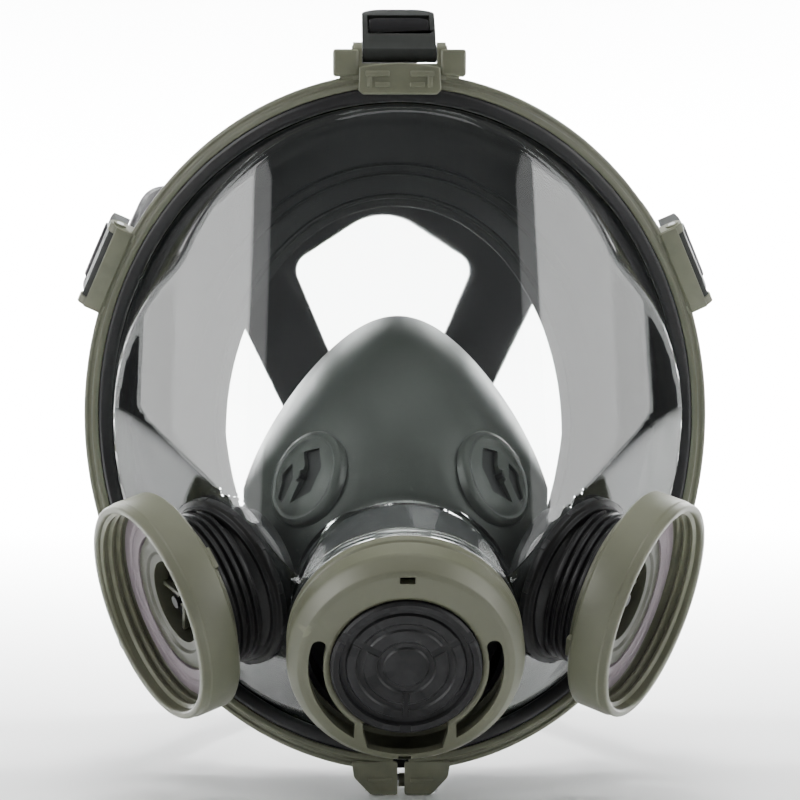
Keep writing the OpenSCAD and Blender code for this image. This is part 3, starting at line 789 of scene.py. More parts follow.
class RESPIRATOR_OT_seal(bpy.types.Operator):
    """The rubber face seal, its edge bead and the ribs on its flap"""
    bl_idname = "respirator.seal"
    bl_label = "Face seal"

    def execute(self, context):
        read_settings()
        bm = bmesh.new()
        steps = 192
        sections = [seal_section(360 * i / steps) for i in range(steps + 1)]
        n = len(sections[0])
        grid(bm, steps, n * 5, lambda u, v: round_loop(sections[round(u * steps)], v * n, SEAL_CORNERS))
        for share, size in ((0.06, 0.9), (0.34, 0.45), (0.46, 0.45)):
            def bead(u, v, share=share, size=size):
                t = 360 * u
                section = sections[round(u * steps)]
                at = mix(section[12], section[14], share) - Vector((0, 0.55 * smooth_step(share, 0, 0.3), 0))
                outward = Vector((cos(t), 0, sin(t)))
                return at + outward * (size * cos(360 * v)) + Vector((0, size * sin(360 * v), 0))
            grid(bm, steps, 10, bead)
        lip = rounded([(-7.0, -1.1), (-7.1, -2.0), (-6.3, -2.9), (-3.6, -3.1), (-2.7, -2.6), (-2.7, -1.1)],
                      0.4, 2)
        n = len(lip)
        grid(bm, steps, n, lambda u, v: rim_at(360 * u, *lip[round(v * n) % n]))
        piece_from(bm, "rubber_face_seal", "mask", "face_seal", FINISHES["seal rubber"])
        return {"FINISHED"}


# ---------- frame ----------
BAND_PROFILE = [(-2.6, -2.8), (-1.3, -3.3), (-0.7, -3.2), (-0.5, -2.5), (0.5, -2.4), (0.8, -2.8),
                (1.5, -2.7), (2, -2.1), (2, 4.6), (-4.5, 4.6), (-4.5, 2.85), (-0.85, 2.85), (-0.85, -1.15),
                (-2.6, -1.15)]
BAND_SWEEP = 177.2
EAR_IN = 11.6
EAR_OUT = 14.4
CLAMP_BELOW = 5.2


def add_ear(bm, k, side):
    place = lug_frame(k)
    mid = side * (EAR_IN + EAR_OUT) / 2
    wall = EAR_OUT - EAR_IN
    outline = arc(3.2, 0, 180, 14) + [(-3.3, -PIN_OUT[k] + 1.4), (-4.6, -PIN_OUT[k] - 0.4),
                                      (4.2, -PIN_OUT[k] - 0.4), (3.2, -PIN_OUT[k] + 1.4)]
    turned = place @ Matrix.Translation((mid, 0, 0)) @ facing(Vector((0, 1, 0)), Vector((1, 0, 0)))
    prism(bm, outline, -wall / 2, wall / 2, turned)
    rod(bm, 2.2, side * wall / 2 - 0.2, side * (wall / 2 + 0.35), turned, 32, 0.15)


class RESPIRATOR_OT_frame(bpy.types.Operator):
    """The two halves of the frame band, with buckle ears, crest and clamp blocks, and the top clip"""
    bl_idname = "respirator.frame"
    bl_label = "Frame"

    def execute(self, context):
        read_settings()
        for side, name in SIDES:
            bm = bmesh.new()
            self.band(bm, side)
            self.lugs(bm, side)
            self.clamp(bm, side)
            piece_from(bm, "frame_%s_half" % name, "mask", "frame_band_" + name,
                       FINISHES["olive plastic"], edge=0.3)
        self.clip()
        return {"FINISHED"}

    def band(self, bm, side):
        profile = rounded(BAND_PROFILE, 0.3, 2)
        n = len(profile)
        start = -BAND_SWEEP / 2 if side > 0 else 180 - BAND_SWEEP / 2

        def wall(u, v):
            r, y = profile[round(v * n) % n]
            return rim_at(start + BAND_SWEEP * u, r, y)
        grid(bm, 132, n, wall)
        bmesh.ops.holes_fill(bm, edges=[e for e in bm.edges if e.is_boundary], sides=0)

    def lugs(self, bm, side):
        """Ears and their bases for the buckles of one side, then its half of the forehead crest."""
        for k in ((2, 4) if side > 0 else (1, 3)):
            for ear in (-1, 1):
                add_ear(bm, k, ear)
            block(bm, (0, -2.4, -3.95), (2 * EAR_OUT, 5.6, 1.1), lug_frame(k), 0.4)
            block(bm, (0, -4.6, -3.2), (2 * EAR_OUT - 5, 1.6, 1.4), lug_frame(k), 0.4)
        add_ear(bm, 0, -side)
        block(bm, (-side * 9.4, -6.0, -0.1), (18.4, 5.0, 5.6), lug_frame(0), 0.7)
        block(bm, (-side * 16.6, -3.3, -0.7), (8.0, 8.2, 6.4), lug_frame(0), 0.9)

    def clamp(self, bm, side):
        """The block at the band's end that the clamp screw runs through, and the shield in front of it."""
        rim = setting("rim")
        chin = Vector((0, rim.chin_y + 1, -rim.half_height))
        place = placed(chin + Vector((side * 5.4, 0, -CLAMP_BELOW)), Vector((0, 0, 1)), Vector((side, 0, 0)))
        outline = [(-3.6, -2.6), (-2.2, -3.6), (2.2, -3.6), (3.6, -2.6), (3.6, 5.4), (-3.6, 5.4)]
        solid = bmesh.new()
        prism(solid, outline, -3, 3, place)
        block(solid, (0, 4.6, 4.6), (5.4, 1.8, 4.0), place, 0.5)
        hole = bmesh.new()
        rod(hole, 2.1, -6, 6, place, 40)
        solid = carve(solid, "clamp_block", [("DIFFERENCE", hole)])
        shield = [(1.1, -9.2), (9.2, -9.2), (14.4, -3.8), (15.2, 1.0), (1.1, 1.0)]
        front = placed(chin, Vector((0, 0, 1)), Vector((0, -1, 0)))
        prism(bm, rounded([(side * x, z) for x, z in shield], 0.8, 3), 2.7, 4.3, front)
        block(bm, (side * 6.4, -4.6, 4.4), (7.2, 1.4, 0.7), front, 0.25)
        mesh = bpy.data.meshes.new("clamp_block")
        solid.to_mesh(mesh)
        solid.free()
        bm.from_mesh(mesh)
        bpy.data.meshes.remove(mesh)

    def clip(self):
        """The block that joins the two halves at the forehead, with its moulded ribs."""
        rim = setting("rim")
        place = placed(Vector((0, rim.top_y - 3.1, rim.half_height - 0.3)), Vector((0, 0, 1)),
                       Vector((0, -1, 0)))
        crown = arc(60, 102, 78, 12, (0, -55.2))
        outline = [(-12.8, -3.6), (-11.4, -4.8), (11.4, -4.8), (12.8, -3.6)] + list(reversed(crown))
        bm = bmesh.new()
        prism(bm, outline, 0.0, 2.2, place)
        for side in (-1, 1):
            block(bm, (side * 6.9, 1.5, 2.3), (7.4, 1.7, 1.3), place, 0.35)
            block(bm, (side * 5.4, -1.9, 2.3), (4.6, 1.5, 1.2), place, 0.3)
            block(bm, (side * 9.3, -1.0, 2.3), (1.5, 3.4, 1.2), place, 0.3)
        piece_from(bm, "forehead_clip", "mask", "top_clip", FINISHES["olive plastic"], edge=0.35)


# ---------- nose cup and check valves ----------
CUP_T = 2.2
HUB_R = SPIGOT_R + 0.15
HUB_Z = -50
CUP_SHARES = (0, 0.12, 0.26, 0.4, 0.54, 0.68, 0.82, 0.93, 1)
CHECK_T = 38
CHECK_S = 0.66
CHECK_R = 15
CHECK_SLOTS = (
    [(-2.2, 7.8), (4.2, 9.4), (8.0, 3.4), (6.4, -4.8), (-1.9, -8.8), (0.4, -2.2), (0.8, 3.2)],
    [(-9.4, 0.1), (-5.8, 3.9), (-3.0, -0.9), (-4.4, -5.4), (-5.8, -8.6), (-8.4, -7.6), (-8.2, -2.8)],
)


def cup_back(t, r):
    low_high = 53 if sin(t) > 0 else 50
    return Vector(((46 + r) * cos(t) * (1 - 0.34 * max(0, sin(t))),
                   -20 - 16 * max(0, sin(t)) ** 2 + 4 * cos(t) ** 2, -24 + (low_high + r) * sin(t)))


def cup_hub(t, r):
    return exhale_point((HUB_R + r) * cos(t), (HUB_R + r) * sin(t), HUB_Z)


def cup_point(t, s, r):
    b, h = cup_back(t, r), cup_hub(t, r)
    return bezier([b, b + Vector((1.5 * cos(t), -30, 2 * sin(t))),
                   h - exhale_axis() * 4 + Vector((13 * cos(t), -2, 12 * sin(t))), h], s)


def check_frame(side):
    t = CHECK_T if side > 0 else 180 - CHECK_T
    u = cup_point(t + 4, CHECK_S, 1) - cup_point(t - 4, CHECK_S, 1)
    v = cup_point(t, CHECK_S + 0.08, 1) - cup_point(t, CHECK_S - 0.08, 1)
    axis = u.cross(v).normalized()
    if axis.y > 0:
        axis = -axis
    return upright(cup_point(t, CHECK_S, CUP_T / 2), axis)


class RESPIRATOR_OT_cup(bpy.types.Operator):
    """The grey nose cup and its two check valve seats"""
    bl_idname = "respirator.cup"
    bl_label = "Nose cup"

    def execute(self, context):
        read_settings()
        self.cup()
        for side, name in SIDES:
            self.seat(side, name)
        return {"FINISHED"}

    def cup(self):
        steps = 144
        axis = exhale_axis()

        def section(t):
            outer = [cup_point(t, s, CUP_T) for s in CUP_SHARES]
            inner = [cup_point(t, s, 0) for s in reversed(CUP_SHARES)]
            return [cup_back(t, -9) + Vector((0, 5, 0)), *outer, cup_hub(t, CUP_T) + axis * 3,
                    cup_hub(t, 0) + axis * 3, *inner, cup_back(t, -9) + Vector((0, 3.6, 0))]
        sections = [section(360 * i / steps) for i in range(steps + 1)]
        n = len(sections[0])
        bm = bmesh.new()
        grid(bm, steps, n * 4, lambda u, v: round_loop(sections[round(u * steps)], v * n, (10, 11)))
        holes = bmesh.new()
        for side in (-1, 1):
            spun(holes, [(0, -15), (CHECK_R - 1.4, -15), (CHECK_R - 1.4, 15), (0, 15)], check_frame(side), 64)
        bm = carve(bm, "cup_shell", [("DIFFERENCE", holes)])
        piece_from(bm, "rubber_nose_cup", "mask", "nose_cup", FINISHES["cup rubber"], sharp=50)

    def seat(self, side, name):
        place = check_frame(side)
        dome = [(0, 4.5), (1.5, 4.4), (2.1, 3.5), (7, 3.1), (11.6, 2.5), (12.2, 2.0), (12.8, 1.9),
                (13.5, 2.2), (14.8, 1.6), (15.3, 0.8), (15.3, -1.4), (CHECK_R - 1.6, -1.4),
                (CHECK_R - 1.6, -5.2), (CHECK_R - 3, -5.2), (CHECK_R - 3, 1.8), (0, 1.8)]
        bm = bmesh.new()
        spun(bm, dome, place, 96)
        slots = bmesh.new()
        for outline in CHECK_SLOTS:
            turned = [(-side * x, y) for x, y in outline]
            prism(slots, rounded(turned, 0.5, 2), 1.7, 12, place)
        bm = carve(bm, "check_seat", [("DIFFERENCE", slots)])
        piece_from(bm, "check_valve_seat_" + name, "mask", "check_seat_" + name,
                   FINISHES["cup rubber"], edge=0.2, sharp=40)


# ---------- front port ----------
SLOT_SPAN = (-52, 15)


class RESPIRATOR_OT_front_port(bpy.types.Operator):
    """The olive cover with its crescent slots, the black cap and the clear insert behind them"""
    bl_idname = "respirator.front_port"
    bl_label = "Front port"

    def execute(self, context):
        read_settings()
        self.cover()
        self.cap()
        self.insert()
        return {"FINISHED"}

    def cover(self):
        port = setting("port")
        place = exhale_frame()
        cap, out = port.cap_radius, port.cover_radius
        profile = [
            (cap + 0.1, -3.4), (cap + 0.1, -0.4), (cap + 1.3, 0.4), (30.0, 0.4), (31.6, -0.2),
            (out - 0.4, -4.2), (out, -5.2), (out, -11.4), (out - 0.5, -11.8), (out - 0.5, -12.6),
            (out, -13.0), (out, -16), (COLLAR_R + 0.2, -16), (COLLAR_R + 0.2, -13.8), (30.2, -13.8),
            (30.2, -12.8), (32.0, -12.8), (32.0, -5), (29.8, -2.4),
        ]
        bm = bmesh.new()
        spun(bm, rounded(profile, 0.35, 2), place, 160)
        cuts = bmesh.new()
        low, high = SLOT_SPAN
        end = arc(2.2, high, high + 180, 8, (26.2 * cos(high), 26.2 * sin(high)))
        outline = arc(28.4, low - 6, high, 30) + end + list(reversed(arc(24.0, low, high, 30)))
        for side in (-1, 1):
            prism(cuts, [(side * x, y) for x, y in outline], -12, 4, place)
        keyhole = [(-12.6, -19.0), (12.6, -19.0), (12.4, -22.0), (11.2, -27.0), *arc(29.6, -68, -112, 12),
                   (-11.2, -27.0), (-12.4, -22.0)]
        holes = bmesh.new()
        prism(holes, keyhole, -12, 4, place)
        for y, wide in ((28.8, 4.4), (-31.6, 3.8)):
            block(holes, (0, y, 0), (wide, 2.2, 9), place, 0.2)
        bm = carve(bm, "cover_shell", [("DIFFERENCE", cuts), ("DIFFERENCE", holes)])
        piece_from(bm, "exhalation_cover", "mask", "front_cover", FINISHES["olive plastic"], edge=0.22)

    def cap(self):
        """The disc with its rings, and the three spoke grooves cut across them."""
        place = exhale_frame()
        radius = setting("port").cap_radius
        face = [(0, 0.5), (6.2, 0.5), (6.7, 0.0), (8.2, 0.0), (8.7, 0.5), (12.2, 0.5), (12.7, 0.0),
                (14.2, 0.0), (14.7, 0.5), (17.2, 0.3), (17.7, -0.5), (19.2, -0.5), (19.6, 1.0), (21.2, 1.3),
                (radius, 0.7), (radius, -3), (0, -3)]
        bm = bmesh.new()
        spun(bm, face, place, 128)
        notches = bmesh.new()
        for turn in (30, 150, 270):
            spoke = place @ Matrix.Rotation(math.radians(turn), 4, "Z")
            block(notches, (13.6, 0, 1.2), (10.4, 2.2, 2.4), spoke, 0.3)
            block(notches, (20.4, 0, 1.4), (4.2, 3.4, 1.4), spoke, 0.3)
        bm = carve(bm, "cap_disc", [("DIFFERENCE", notches)])
        piece_from(bm, "exhalation_cap", "mask", "front_cap", FINISHES["black plastic"], edge=0.2)

    def insert(self):
        out = setting("port").cover_radius - 0.3
        section = [(COLLAR_R + 0.1, -21.5), (out, -21.5), (out, -16.2), (COLLAR_R + 0.1, -16.2)]
        bm = bmesh.new()
        spun(bm, rounded(section, 0.3, 2), exhale_frame(), 128)
        piece_from(bm, "clear_collar_insert", "mask", "collar_insert", FINISHES["visor plastic"])


# ---------- filter ports ----------
RING_FLOOR = -13
NECK_R = 24
TUBE_R = 17.9
TUBE_IN = 15.6


class RESPIRATOR_OT_filter_ports(bpy.types.Operator):
    """For each side: threaded ring, gasket, inhalation seat, ribbed neck and visor flange"""
    bl_idname = "respirator.filter_ports"
    bl_label = "Filter ports"

    def execute(self, context):
        read_settings()
        for side, name in SIDES:
            self.ring(side, name)
            self.fittings(side, name)
            self.neck(side, name)
        return {"FINISHED"}

    def ring(self, side, name):
        port = setting("port")
        place = port_frame(side)
        out, crest = port.ring_radius, port.thread_radius
        bm = bmesh.new()
        wall = crest + 1.1
        profile = [(TUBE_R + 0.1, RING_FLOOR - 3.4), (26.6, RING_FLOOR - 3.4), (27, RING_FLOOR - 3),
                   (27, RING_FLOOR), (out - 0.9, RING_FLOOR), (out, RING_FLOOR + 0.9), (out, -3.0),
                   (out - 0.35, -2.6), (out - 0.35, -0.5), (out - 0.8, 0), (wall + 0.5, 0), (wall, -0.6),
                   (wall, -9.4), (30.3, -10.35), (TUBE_R + 0.1, -10.4)]
        spun(bm, rounded(profile, 0.3, 2), place, 160)
        turns, pitch = 2.6, port.thread_pitch

        def thread(u, v):
            height = min(1, 9 * u, 9 * (1 - u))
            tooth = -(wall - crest) * height
            radial, up = [(0.3, -1.15), (tooth, -0.3), (tooth, 0.3), (0.3, 1.15)][round(v * 4) % 4]
            angle = 360 * turns * u
            r = wall + radial
            return place @ Vector((r * cos(angle), r * sin(angle), -8.9 + pitch * turns * u + up))
        grid(bm, 340, 4, thread)
        for i in range(3):
            spoke = place @ Matrix.Rotation(math.radians(120 * i + (90 if side > 0 else 30)), 4, "Z")
            block(bm, (27.6, 0, RING_FLOOR - 1.6), (2.6, 7.0, 3.4), spoke, 0.5)
        piece_from(bm, "threaded_ring_" + name, "mask", "filter_ring_" + name,
                   FINISHES["olive plastic"], sharp=40)

    def fittings(self, side, name):
        place = port_frame(side)
        bm = bmesh.new()
        spun(bm, rounded([(21.6, -10.3), (30.1, -10.3), (30.1, -9.0), (26.6, -8.9), (26.2, -9.3),
                          (25.4, -9.3), (25.0, -8.9), (21.6, -9.0)], 0.25, 2), place, 128)
        piece_from(bm, "gasket_washer_" + name, "mask", "filter_gasket_" + name,
                   FINISHES["gasket rubber"])
        bm = bmesh.new()
        floor = RING_FLOOR
        spun(bm, rounded([(TUBE_IN - 2.6, floor - 2), (TUBE_IN - 0.1, floor - 2),
                          (TUBE_IN - 0.1, floor + 2.7), (20.6, floor + 2.7), (20.6, floor + 4.0),
                          (16.4, floor + 4.05), (15.6, floor + 3.2), (TUBE_IN - 2.6, floor + 3.2)], 0.25,
                          2), place, 96)
        for i in range(5):
            spoke = place @ Matrix.Rotation(math.radians(72 * i + 90), 4, "Z")
            block(bm, (7.8, 0, floor - 0.8), (11, 1.5, 2.2), spoke, 0.3)
        spun(bm, [(1.3, floor - 2), (3, floor - 2), (3.2, floor + 0.4), (2.6, floor + 0.9),
                  (1.3, floor + 0.9)], place, 48)
        piece_from(bm, "inhalation_valve_seat_" + name, "mask", "inhalation_seat_" + name,
                   FINISHES["dark olive plastic"])

    def neck(self, side, name):
        place = port_frame(side)
        plane = facet_axis(side)
        base = facet_centre(side)
        bm = bmesh.new()
        top = RING_FLOOR - 3.6
        folds = []
        for i in range(4):
            z = top - 0.6 - 2.5 * i
            folds += [(NECK_R, z), (NECK_R, z - 1.2), (NECK_R - 1.3, z - 1.5), (NECK_R - 1.3, z - 2.2)]
        profile = [(TUBE_IN + 1.2, -FACET_DEPTH - 4), (TUBE_IN + 1.2, top), (NECK_R - 0.4, top), *folds,
                   (NECK_R, -FACET_DEPTH - 4)]
        shell = spun(bm, rounded(profile, 0.25, 2), place, 120)
        axis = port_axis(side)
        for vert in shell:
            depth = (vert.co - base).dot(plane) - 4.05
            if depth < 0:
                vert.co -= axis * (depth / axis.dot(plane))
        spun(bm, rounded([(TUBE_IN, -FACET_DEPTH - 14), (TUBE_R, -FACET_DEPTH - 14),
                          (TUBE_R, RING_FLOOR + 2.5), (TUBE_IN, RING_FLOOR + 2.5)], 0.3, 2), place, 96)
        piece_from(bm, "ribbed_neck_" + name, "mask", "port_neck_" + name,
                   FINISHES["seal rubber"])
        bm = bmesh.new()
        flat = upright(base, plane)
        spun(bm, rounded([(18.6, 0.1), (27, 0.1), (27, 2.1), (25.4, 2.7), (24.9, 4.0), (18.6, 4.0)], 0.35,
                         3), flat, 128)
        for i in range(12):
            spoke = flat @ Matrix.Rotation(math.radians(30 * i), 4, "Z")
            block(bm, (26.3, 0, 1.2), (1.9, 3.4, 2.0), spoke, 0.35)
        piece_from(bm, "visor_flange_" + name, "mask", "port_flange_" + name,
                   FINISHES["black plastic"])


# ---------- buckles ----------
BUCKLE_W = 22.8
WINDOW_W = 19.4
ROLLER_Y = 11.9
ROLLER_R = 2.4
FLUTE = 0.22


class RESPIRATOR_OT_buckles(bpy.types.Operator):
    """Five domed buckle frames, each with its ribbed roller"""
    bl_idname = "respirator.buckles"
    bl_label = "Buckles"

    def execute(self, context):
        read_settings()
        for k, name in enumerate(BUCKLES):
            place = buckle_frame(k)
            across = place @ facing(Vector((0, 0, 1)), Vector((1, 0, 0)))
            half = BUCKLE_W / 2
            bm = bmesh.new()
            barrel = arc(3.1, 232, 20, 16)
            crown = [(mix(23.4, 1.8, i / 10), -3.8 + 1.3 * ((i - 5) / 5) ** 2) for i in range(11)]
            outline = [(24.2, 1.8), (24.2, -2.0), *crown, *barrel, (3.4, 2.4), (23.6, 2.4)]
            prism(bm, outline, -half, half, across)
            window = bmesh.new()
            block(window, (0, ROLLER_Y, 0), (WINDOW_W, 11.4, 20), place)
            dome = bmesh.new()
            tip = [(half * cos(a), 19.2 + 4.9 * sin(a)) for a in range(0, 181, 9)]
            prism(dome, [(-half, -6), (half, -6), *tip], -9, 9, place)
            bm = carve(bm, "buckle_frame", [("DIFFERENCE", window), ("INTERSECT", dome)])
            body = "buckle_%s_body" % name
            piece_from(bm, "domed_buckle_" + name, body, "buckle_" + name,
                       FINISHES["buckle plastic"], edge=0.35)
            bm = bmesh.new()
            bar = place @ Matrix.Translation((0, ROLLER_Y, 0)) @ ALONG_X
            flutes = []
            for angle in range(0, 360, 6):
                radius = ROLLER_R - FLUTE + FLUTE * cos(12 * angle)
                flutes.append((radius * cos(angle), radius * sin(angle)))
            prism(bm, flutes, -WINDOW_W / 2 + 0.2, WINDOW_W / 2 - 0.2, bar)
            rod(bm, 1.1, -WINDOW_W / 2 - 0.9, WINDOW_W / 2 + 0.9, bar, 32, 0.2)
            piece_from(bm, "ribbed_roller_" + name, "roller_%s_body" % name, "roller_" + name,
                       FINISHES["black plastic"], edge=0.1)
        return {"FINISHED"}


# ---------- harness ----------
PLATE_T = 2
CORNER = (38, 48, 22)
CROWN = (0, 48, 46)
APEX = (0, -22, 26)
PLATE_WEB = 25
ARM_ANGLE = (90, 150, 30, 228, -48)
ARM_FROM = (CROWN, (-CORNER[0], CORNER[1], CORNER[2]), CORNER, APEX, APEX)
STRAP_GAP = 0.5
STRAP_LEAD = 24
STRAP_TAIL = 14


def plate_edge(angle, inset):
    """Edge of the plate where its outline faces the angle: the furthest of the circles it wraps."""
    circles = [(side * (CORNER[0] - inset * 0.5), CORNER[1], CORNER[2] - inset * 0.6) for side in (-1, 1)]
    circles += [(0, CROWN[1], CROWN[2] - inset), (0, APEX[1] + inset * 0.5, APEX[2] - inset * 0.7)]
    x, z = cos(angle), sin(angle)
    best = max(circles, key=lambda c: c[0] * x + c[1] * z + c[2])
    return Vector((best[0] + best[2] * x, 0, best[1] + best[2] * z))


def strap_route(k):
    """Points along an arm's middle, from the plate to its end, and the arm's width direction at each."""
    harness = setting("harness")
    wall = harness.strap_wall
    go = Vector((cos(ARM_ANGLE[k]), 0, sin(ARM_ANGLE[k])))
    start = pin_at(k) + arm(k) * STRAP_LEAD + arm_back(k) * (ROLLER_R + STRAP_GAP + wall / 2)
    x, z, r = ARM_FROM[k]
    foot = Vector((x, harness.plate_y, z)) + go * (r - 3)
    reach = (foot + go * 3.3 - start).length
    pull, sweep = (0.03, 0.25) if k == 0 else (0.2, 0.35)
    lift = go * 0.9 - Vector((0, 0.5, 0))
    route = [start, start + arm(k) * reach * pull, foot + lift * reach * sweep, foot]
    side0 = along(BUCKLE_T[k])
    across = Vector((-sin(ARM_ANGLE[k]), 0, cos(ARM_ANGLE[k])))
    side1 = across if across.dot(side0) > 0 else -across
    steps = 44
    points = [(foot - go * (9 - 3 * i), side1, go, 1) for i in range(3)]
    for i in range(steps + 1):
        s = 1 - i / steps
        run = (bezier(route, s + 0.01) - bezier(route, s - 0.01)).normalized()
        width = mix(side0, side1, s)
        points.append((bezier(route, s), (width - run * width.dot(run)).normalized(), -run, s))
    turn = ROLLER_R + STRAP_GAP + wall / 2
    place = buckle_frame(k)
    for i in range(1, 7):
        y = mix(STRAP_LEAD, ROLLER_Y, i / 6)
        points.append((place @ Vector((0, y, turn)), side0, -arm(k), 0))
    for i in range(1, 17):
        a = 180 * i / 16
        at = place @ Vector((0, ROLLER_Y - turn * sin(a), turn * cos(a)))
        heading = place.to_3x3() @ Vector((0, -cos(a), -sin(a)))
        points.append((at, side0, heading, 0))
    for i in range(1, 7):
        y = mix(ROLLER_Y, STRAP_TAIL, i / 6)
        points.append((place @ Vector((0, y, -turn)), side0, arm(k), 0))
    return points


class RESPIRATOR_OT_harness(bpy.types.Operator):
    """The harness plate and the five arms that run through the buckles"""
    bl_idname = "respirator.harness"
    bl_label = "Harness"

    def execute(self, context):
        read_settings()
        harness = setting("harness")
        bm = bmesh.new()
        half = PLATE_T / 2
        section = rounded([(0, -half), (PLATE_WEB, -half), (PLATE_WEB, half), (0, half)], 0.9, 4)
        n = len(section)

        def plate(u, v):
            r, y = section[round(v * n) % n]
            angle = 360 * u
            at = mix(plate_edge(angle, 0), plate_edge(angle, PLATE_WEB), r / PLATE_WEB)
            return Vector((at.x, harness.plate_y + y, at.z))
        grid(bm, 240, n, plate)
        piece_from(bm, "rubber_harness_plate", "mask", "harness_plate", FINISHES["seal rubber"])
        for k, name in enumerate(BUCKLES):
            points = strap_route(k)
            last = len(points) - 1
            wall = harness.strap_wall / 2

            def ribbon(u, v, points=points, k=k):
                at, side, run, s = points[round(v * last)]
                flare = mix(harness.strap_width, 22, s) / 2 + 7 * smooth_step(s, 0.86, 1.0)
                near_end = max(0, v * last - (last - 3)) / 3
                wide = flare - 2.6 * near_end ** 2
                edge = rounded([(-wide, -wall), (wide, -wall), (wide, wall), (-wide, wall)], 0.55, 3)
                x, z = edge[round(u * len(edge)) % len(edge)]
                return at + side * x + side.cross(run) * z
            bm = bmesh.new()
            grid(bm, 16, last, ribbon)
            bmesh.ops.holes_fill(bm, edges=[e for e in bm.edges if e.is_boundary], sides=0)
            piece = piece_from(bm, "harness_arm_" + name, None, "strap_" + name,
                               FINISHES["strap rubber"])
            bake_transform(piece)
        return {"FINISHED"}


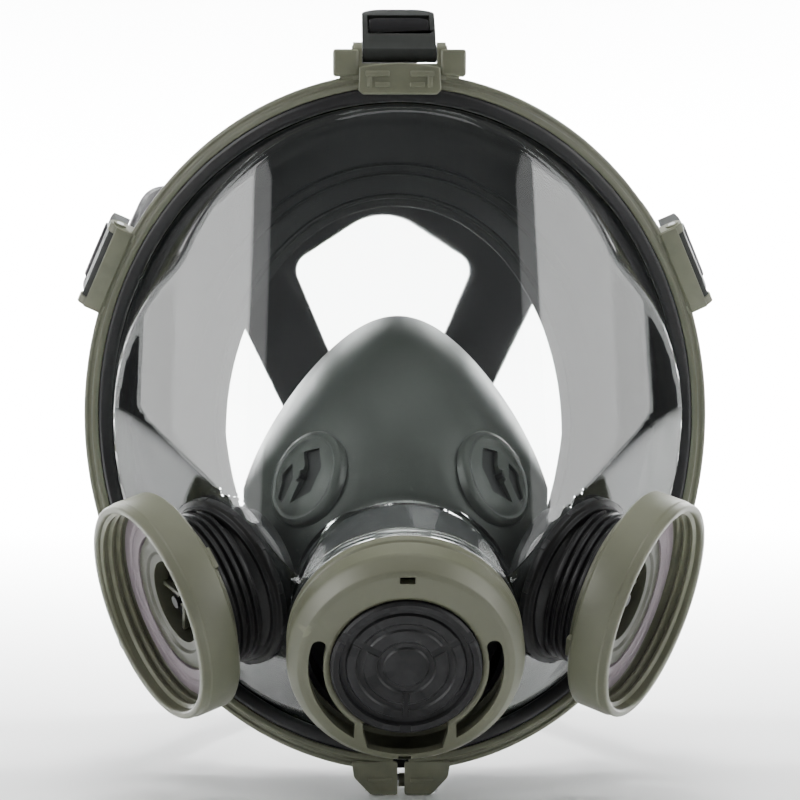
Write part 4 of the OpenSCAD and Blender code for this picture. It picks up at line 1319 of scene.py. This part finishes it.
# ---------- stage ----------
class RESPIRATOR_OT_stage(bpy.types.Operator):
    """Pale floor and backdrop, soft boxes and the camera"""
    bl_idname = "respirator.stage"
    bl_label = "Stage"

    def execute(self, context):
        read_settings()
        stage = setting("stage")
        floor_z = CAD_BOX[0][2] - 0.0005
        profile = [(-3.0, 0), (1.2, 0), (1.5, 0.05), (1.75, 0.2), (1.9, 0.5), (1.95, 1.0), (1.95, 4.0)]
        bm = bmesh.new()
        rows = len(profile) - 1

        def sweep(u, v):
            y, z = profile[round(v * rows)]
            return Vector((-4 + 8 * u, y, floor_z + z))
        grid(bm, 2, rows, sweep)
        bmesh.ops.recalc_face_normals(bm, faces=bm.faces)
        for face in bm.faces:
            face.smooth = True
        backdrop = as_object(bm, "backdrop")
        n = Nodes("backdrop paper")
        paper = n.ramp(n.noise(3, 2), [(0.3, (0.86, 0.87, 0.87)), (0.7, (0.9, 0.905, 0.905))])
        n.join(paper, n.shader.inputs["Base Color"])
        n.shader.inputs["Roughness"].default_value = 0.9
        backdrop.data.materials.append(n.material)

        world = bpy.data.worlds.new("studio")
        world.use_nodes = True
        background = world.node_tree.nodes["Background"]
        background.inputs["Color"].default_value = (0.96, 0.98, 1.0, 1)
        background.inputs["Strength"].default_value = 0.14
        bpy.context.scene.world = world

        self.box("left_reflection", (-1.1, -0.55, 0.2), (0.75, 1.4), 20, diffuse=False)
        self.box("right_reflection", (1.1, -0.55, 0.2), (0.75, 1.4), 17, diffuse=False)
        self.box("left_fill", (-1.3, -0.9, 0.5), (0.8, 1.0), 4)
        self.box("right_fill", (1.3, -0.9, 0.5), (0.8, 1.0), 3.2)
        self.box("top_box", (0.1, -0.6, 1.4), (1.2, 0.8), 6)
        self.box("near_floor_light", (0, 0.5, 2.0), (1.6, 0.8), 10, (0, 0.42, -0.1), glossy=False, spread=40)
        for side, name in SIDES:
            self.box("wall_light_" + name, (side * 1.6, 1.2, 1.3), (1.2, 1.2), 120,
                     (side * 0.6, 1.95, 0.0), glossy=False, spread=100)
            self.box("floor_light_" + name, (side * 1.3, 1.3, 1.8), (1.2, 1.2), 80,
                     (side * 0.4, 1.4, -0.1), glossy=False, spread=60)

        a, e = math.radians(stage.azimuth), math.radians(stage.elevation)
        back = Vector((math.sin(a) * math.cos(e), -math.cos(a) * math.cos(e), math.sin(e)))
        target = Vector((0.002, 0, 0.004))
        camera = bpy.data.cameras.new("camera")
        camera.lens = stage.lens
        camera.sensor_width = 36
        view = bpy.data.objects.new("camera", camera)
        bpy.context.collection.objects.link(view)
        view.location = target + back * stage.distance * MM
        view.rotation_euler = back.to_track_quat("Z", "Y").to_euler()
        bpy.context.scene.camera = view
        return {"FINISHED"}

    def box(self, name, at, size, power, aim=(0, -0.03, 0), diffuse=True, glossy=True, spread=180):
        light = bpy.data.lights.new(name, "AREA")
        light.shape = "RECTANGLE"
        light.size, light.size_y = size
        light.energy = power
        light.spread = math.radians(spread)
        lamp = bpy.data.objects.new(name, light)
        bpy.context.collection.objects.link(lamp)
        lamp.location = at
        lamp.visible_diffuse = diffuse
        lamp.visible_glossy = glossy
        lamp.rotation_euler = (Vector(at) - Vector(aim)).to_track_quat("Z", "Y").to_euler()


OPERATORS = (
    RESPIRATOR_OT_finishes, RESPIRATOR_OT_visor, RESPIRATOR_OT_seal, RESPIRATOR_OT_frame, RESPIRATOR_OT_cup,
    RESPIRATOR_OT_front_port, RESPIRATOR_OT_filter_ports, RESPIRATOR_OT_buckles, RESPIRATOR_OT_harness,
    RESPIRATOR_OT_stage,
)


class RESPIRATOR_PT_panel(bpy.types.Panel):
    """Lists the respirator's sizes, colours and build steps"""
    bl_idname = "RESPIRATOR_PT_panel"
    bl_label = "Full Face Respirator"
    bl_space_type = "VIEW_3D"
    bl_region_type = "UI"
    bl_category = "Respirator"

    def draw(self, context):
        for group, kind in SETTINGS.items():
            box = self.layout.box()
            box.label(text=group.capitalize())
            for name in kind.__annotations__:
                box.prop(getattr(context.scene, "respirator_" + group), name)
        for operator in OPERATORS:
            self.layout.operator(operator.bl_idname)


def register():
    for group, kind in SETTINGS.items():
        bpy.utils.register_class(kind)
        setattr(bpy.types.Scene, "respirator_" + group, bpy.props.PointerProperty(type=kind))
    for operator in OPERATORS:
        bpy.utils.register_class(operator)
    bpy.utils.register_class(RESPIRATOR_PT_panel)


def unregister():
    bpy.utils.unregister_class(RESPIRATOR_PT_panel)
    for operator in reversed(OPERATORS):
        bpy.utils.unregister_class(operator)
    for group, kind in SETTINGS.items():
        delattr(bpy.types.Scene, "respirator_" + group)
        bpy.utils.unregister_class(kind)


def main():
    register()
    for operator in OPERATORS:
        area, action = operator.bl_idname.split(".")
        getattr(getattr(bpy.ops, area), action)()


if __name__ == "__main__":
    main()
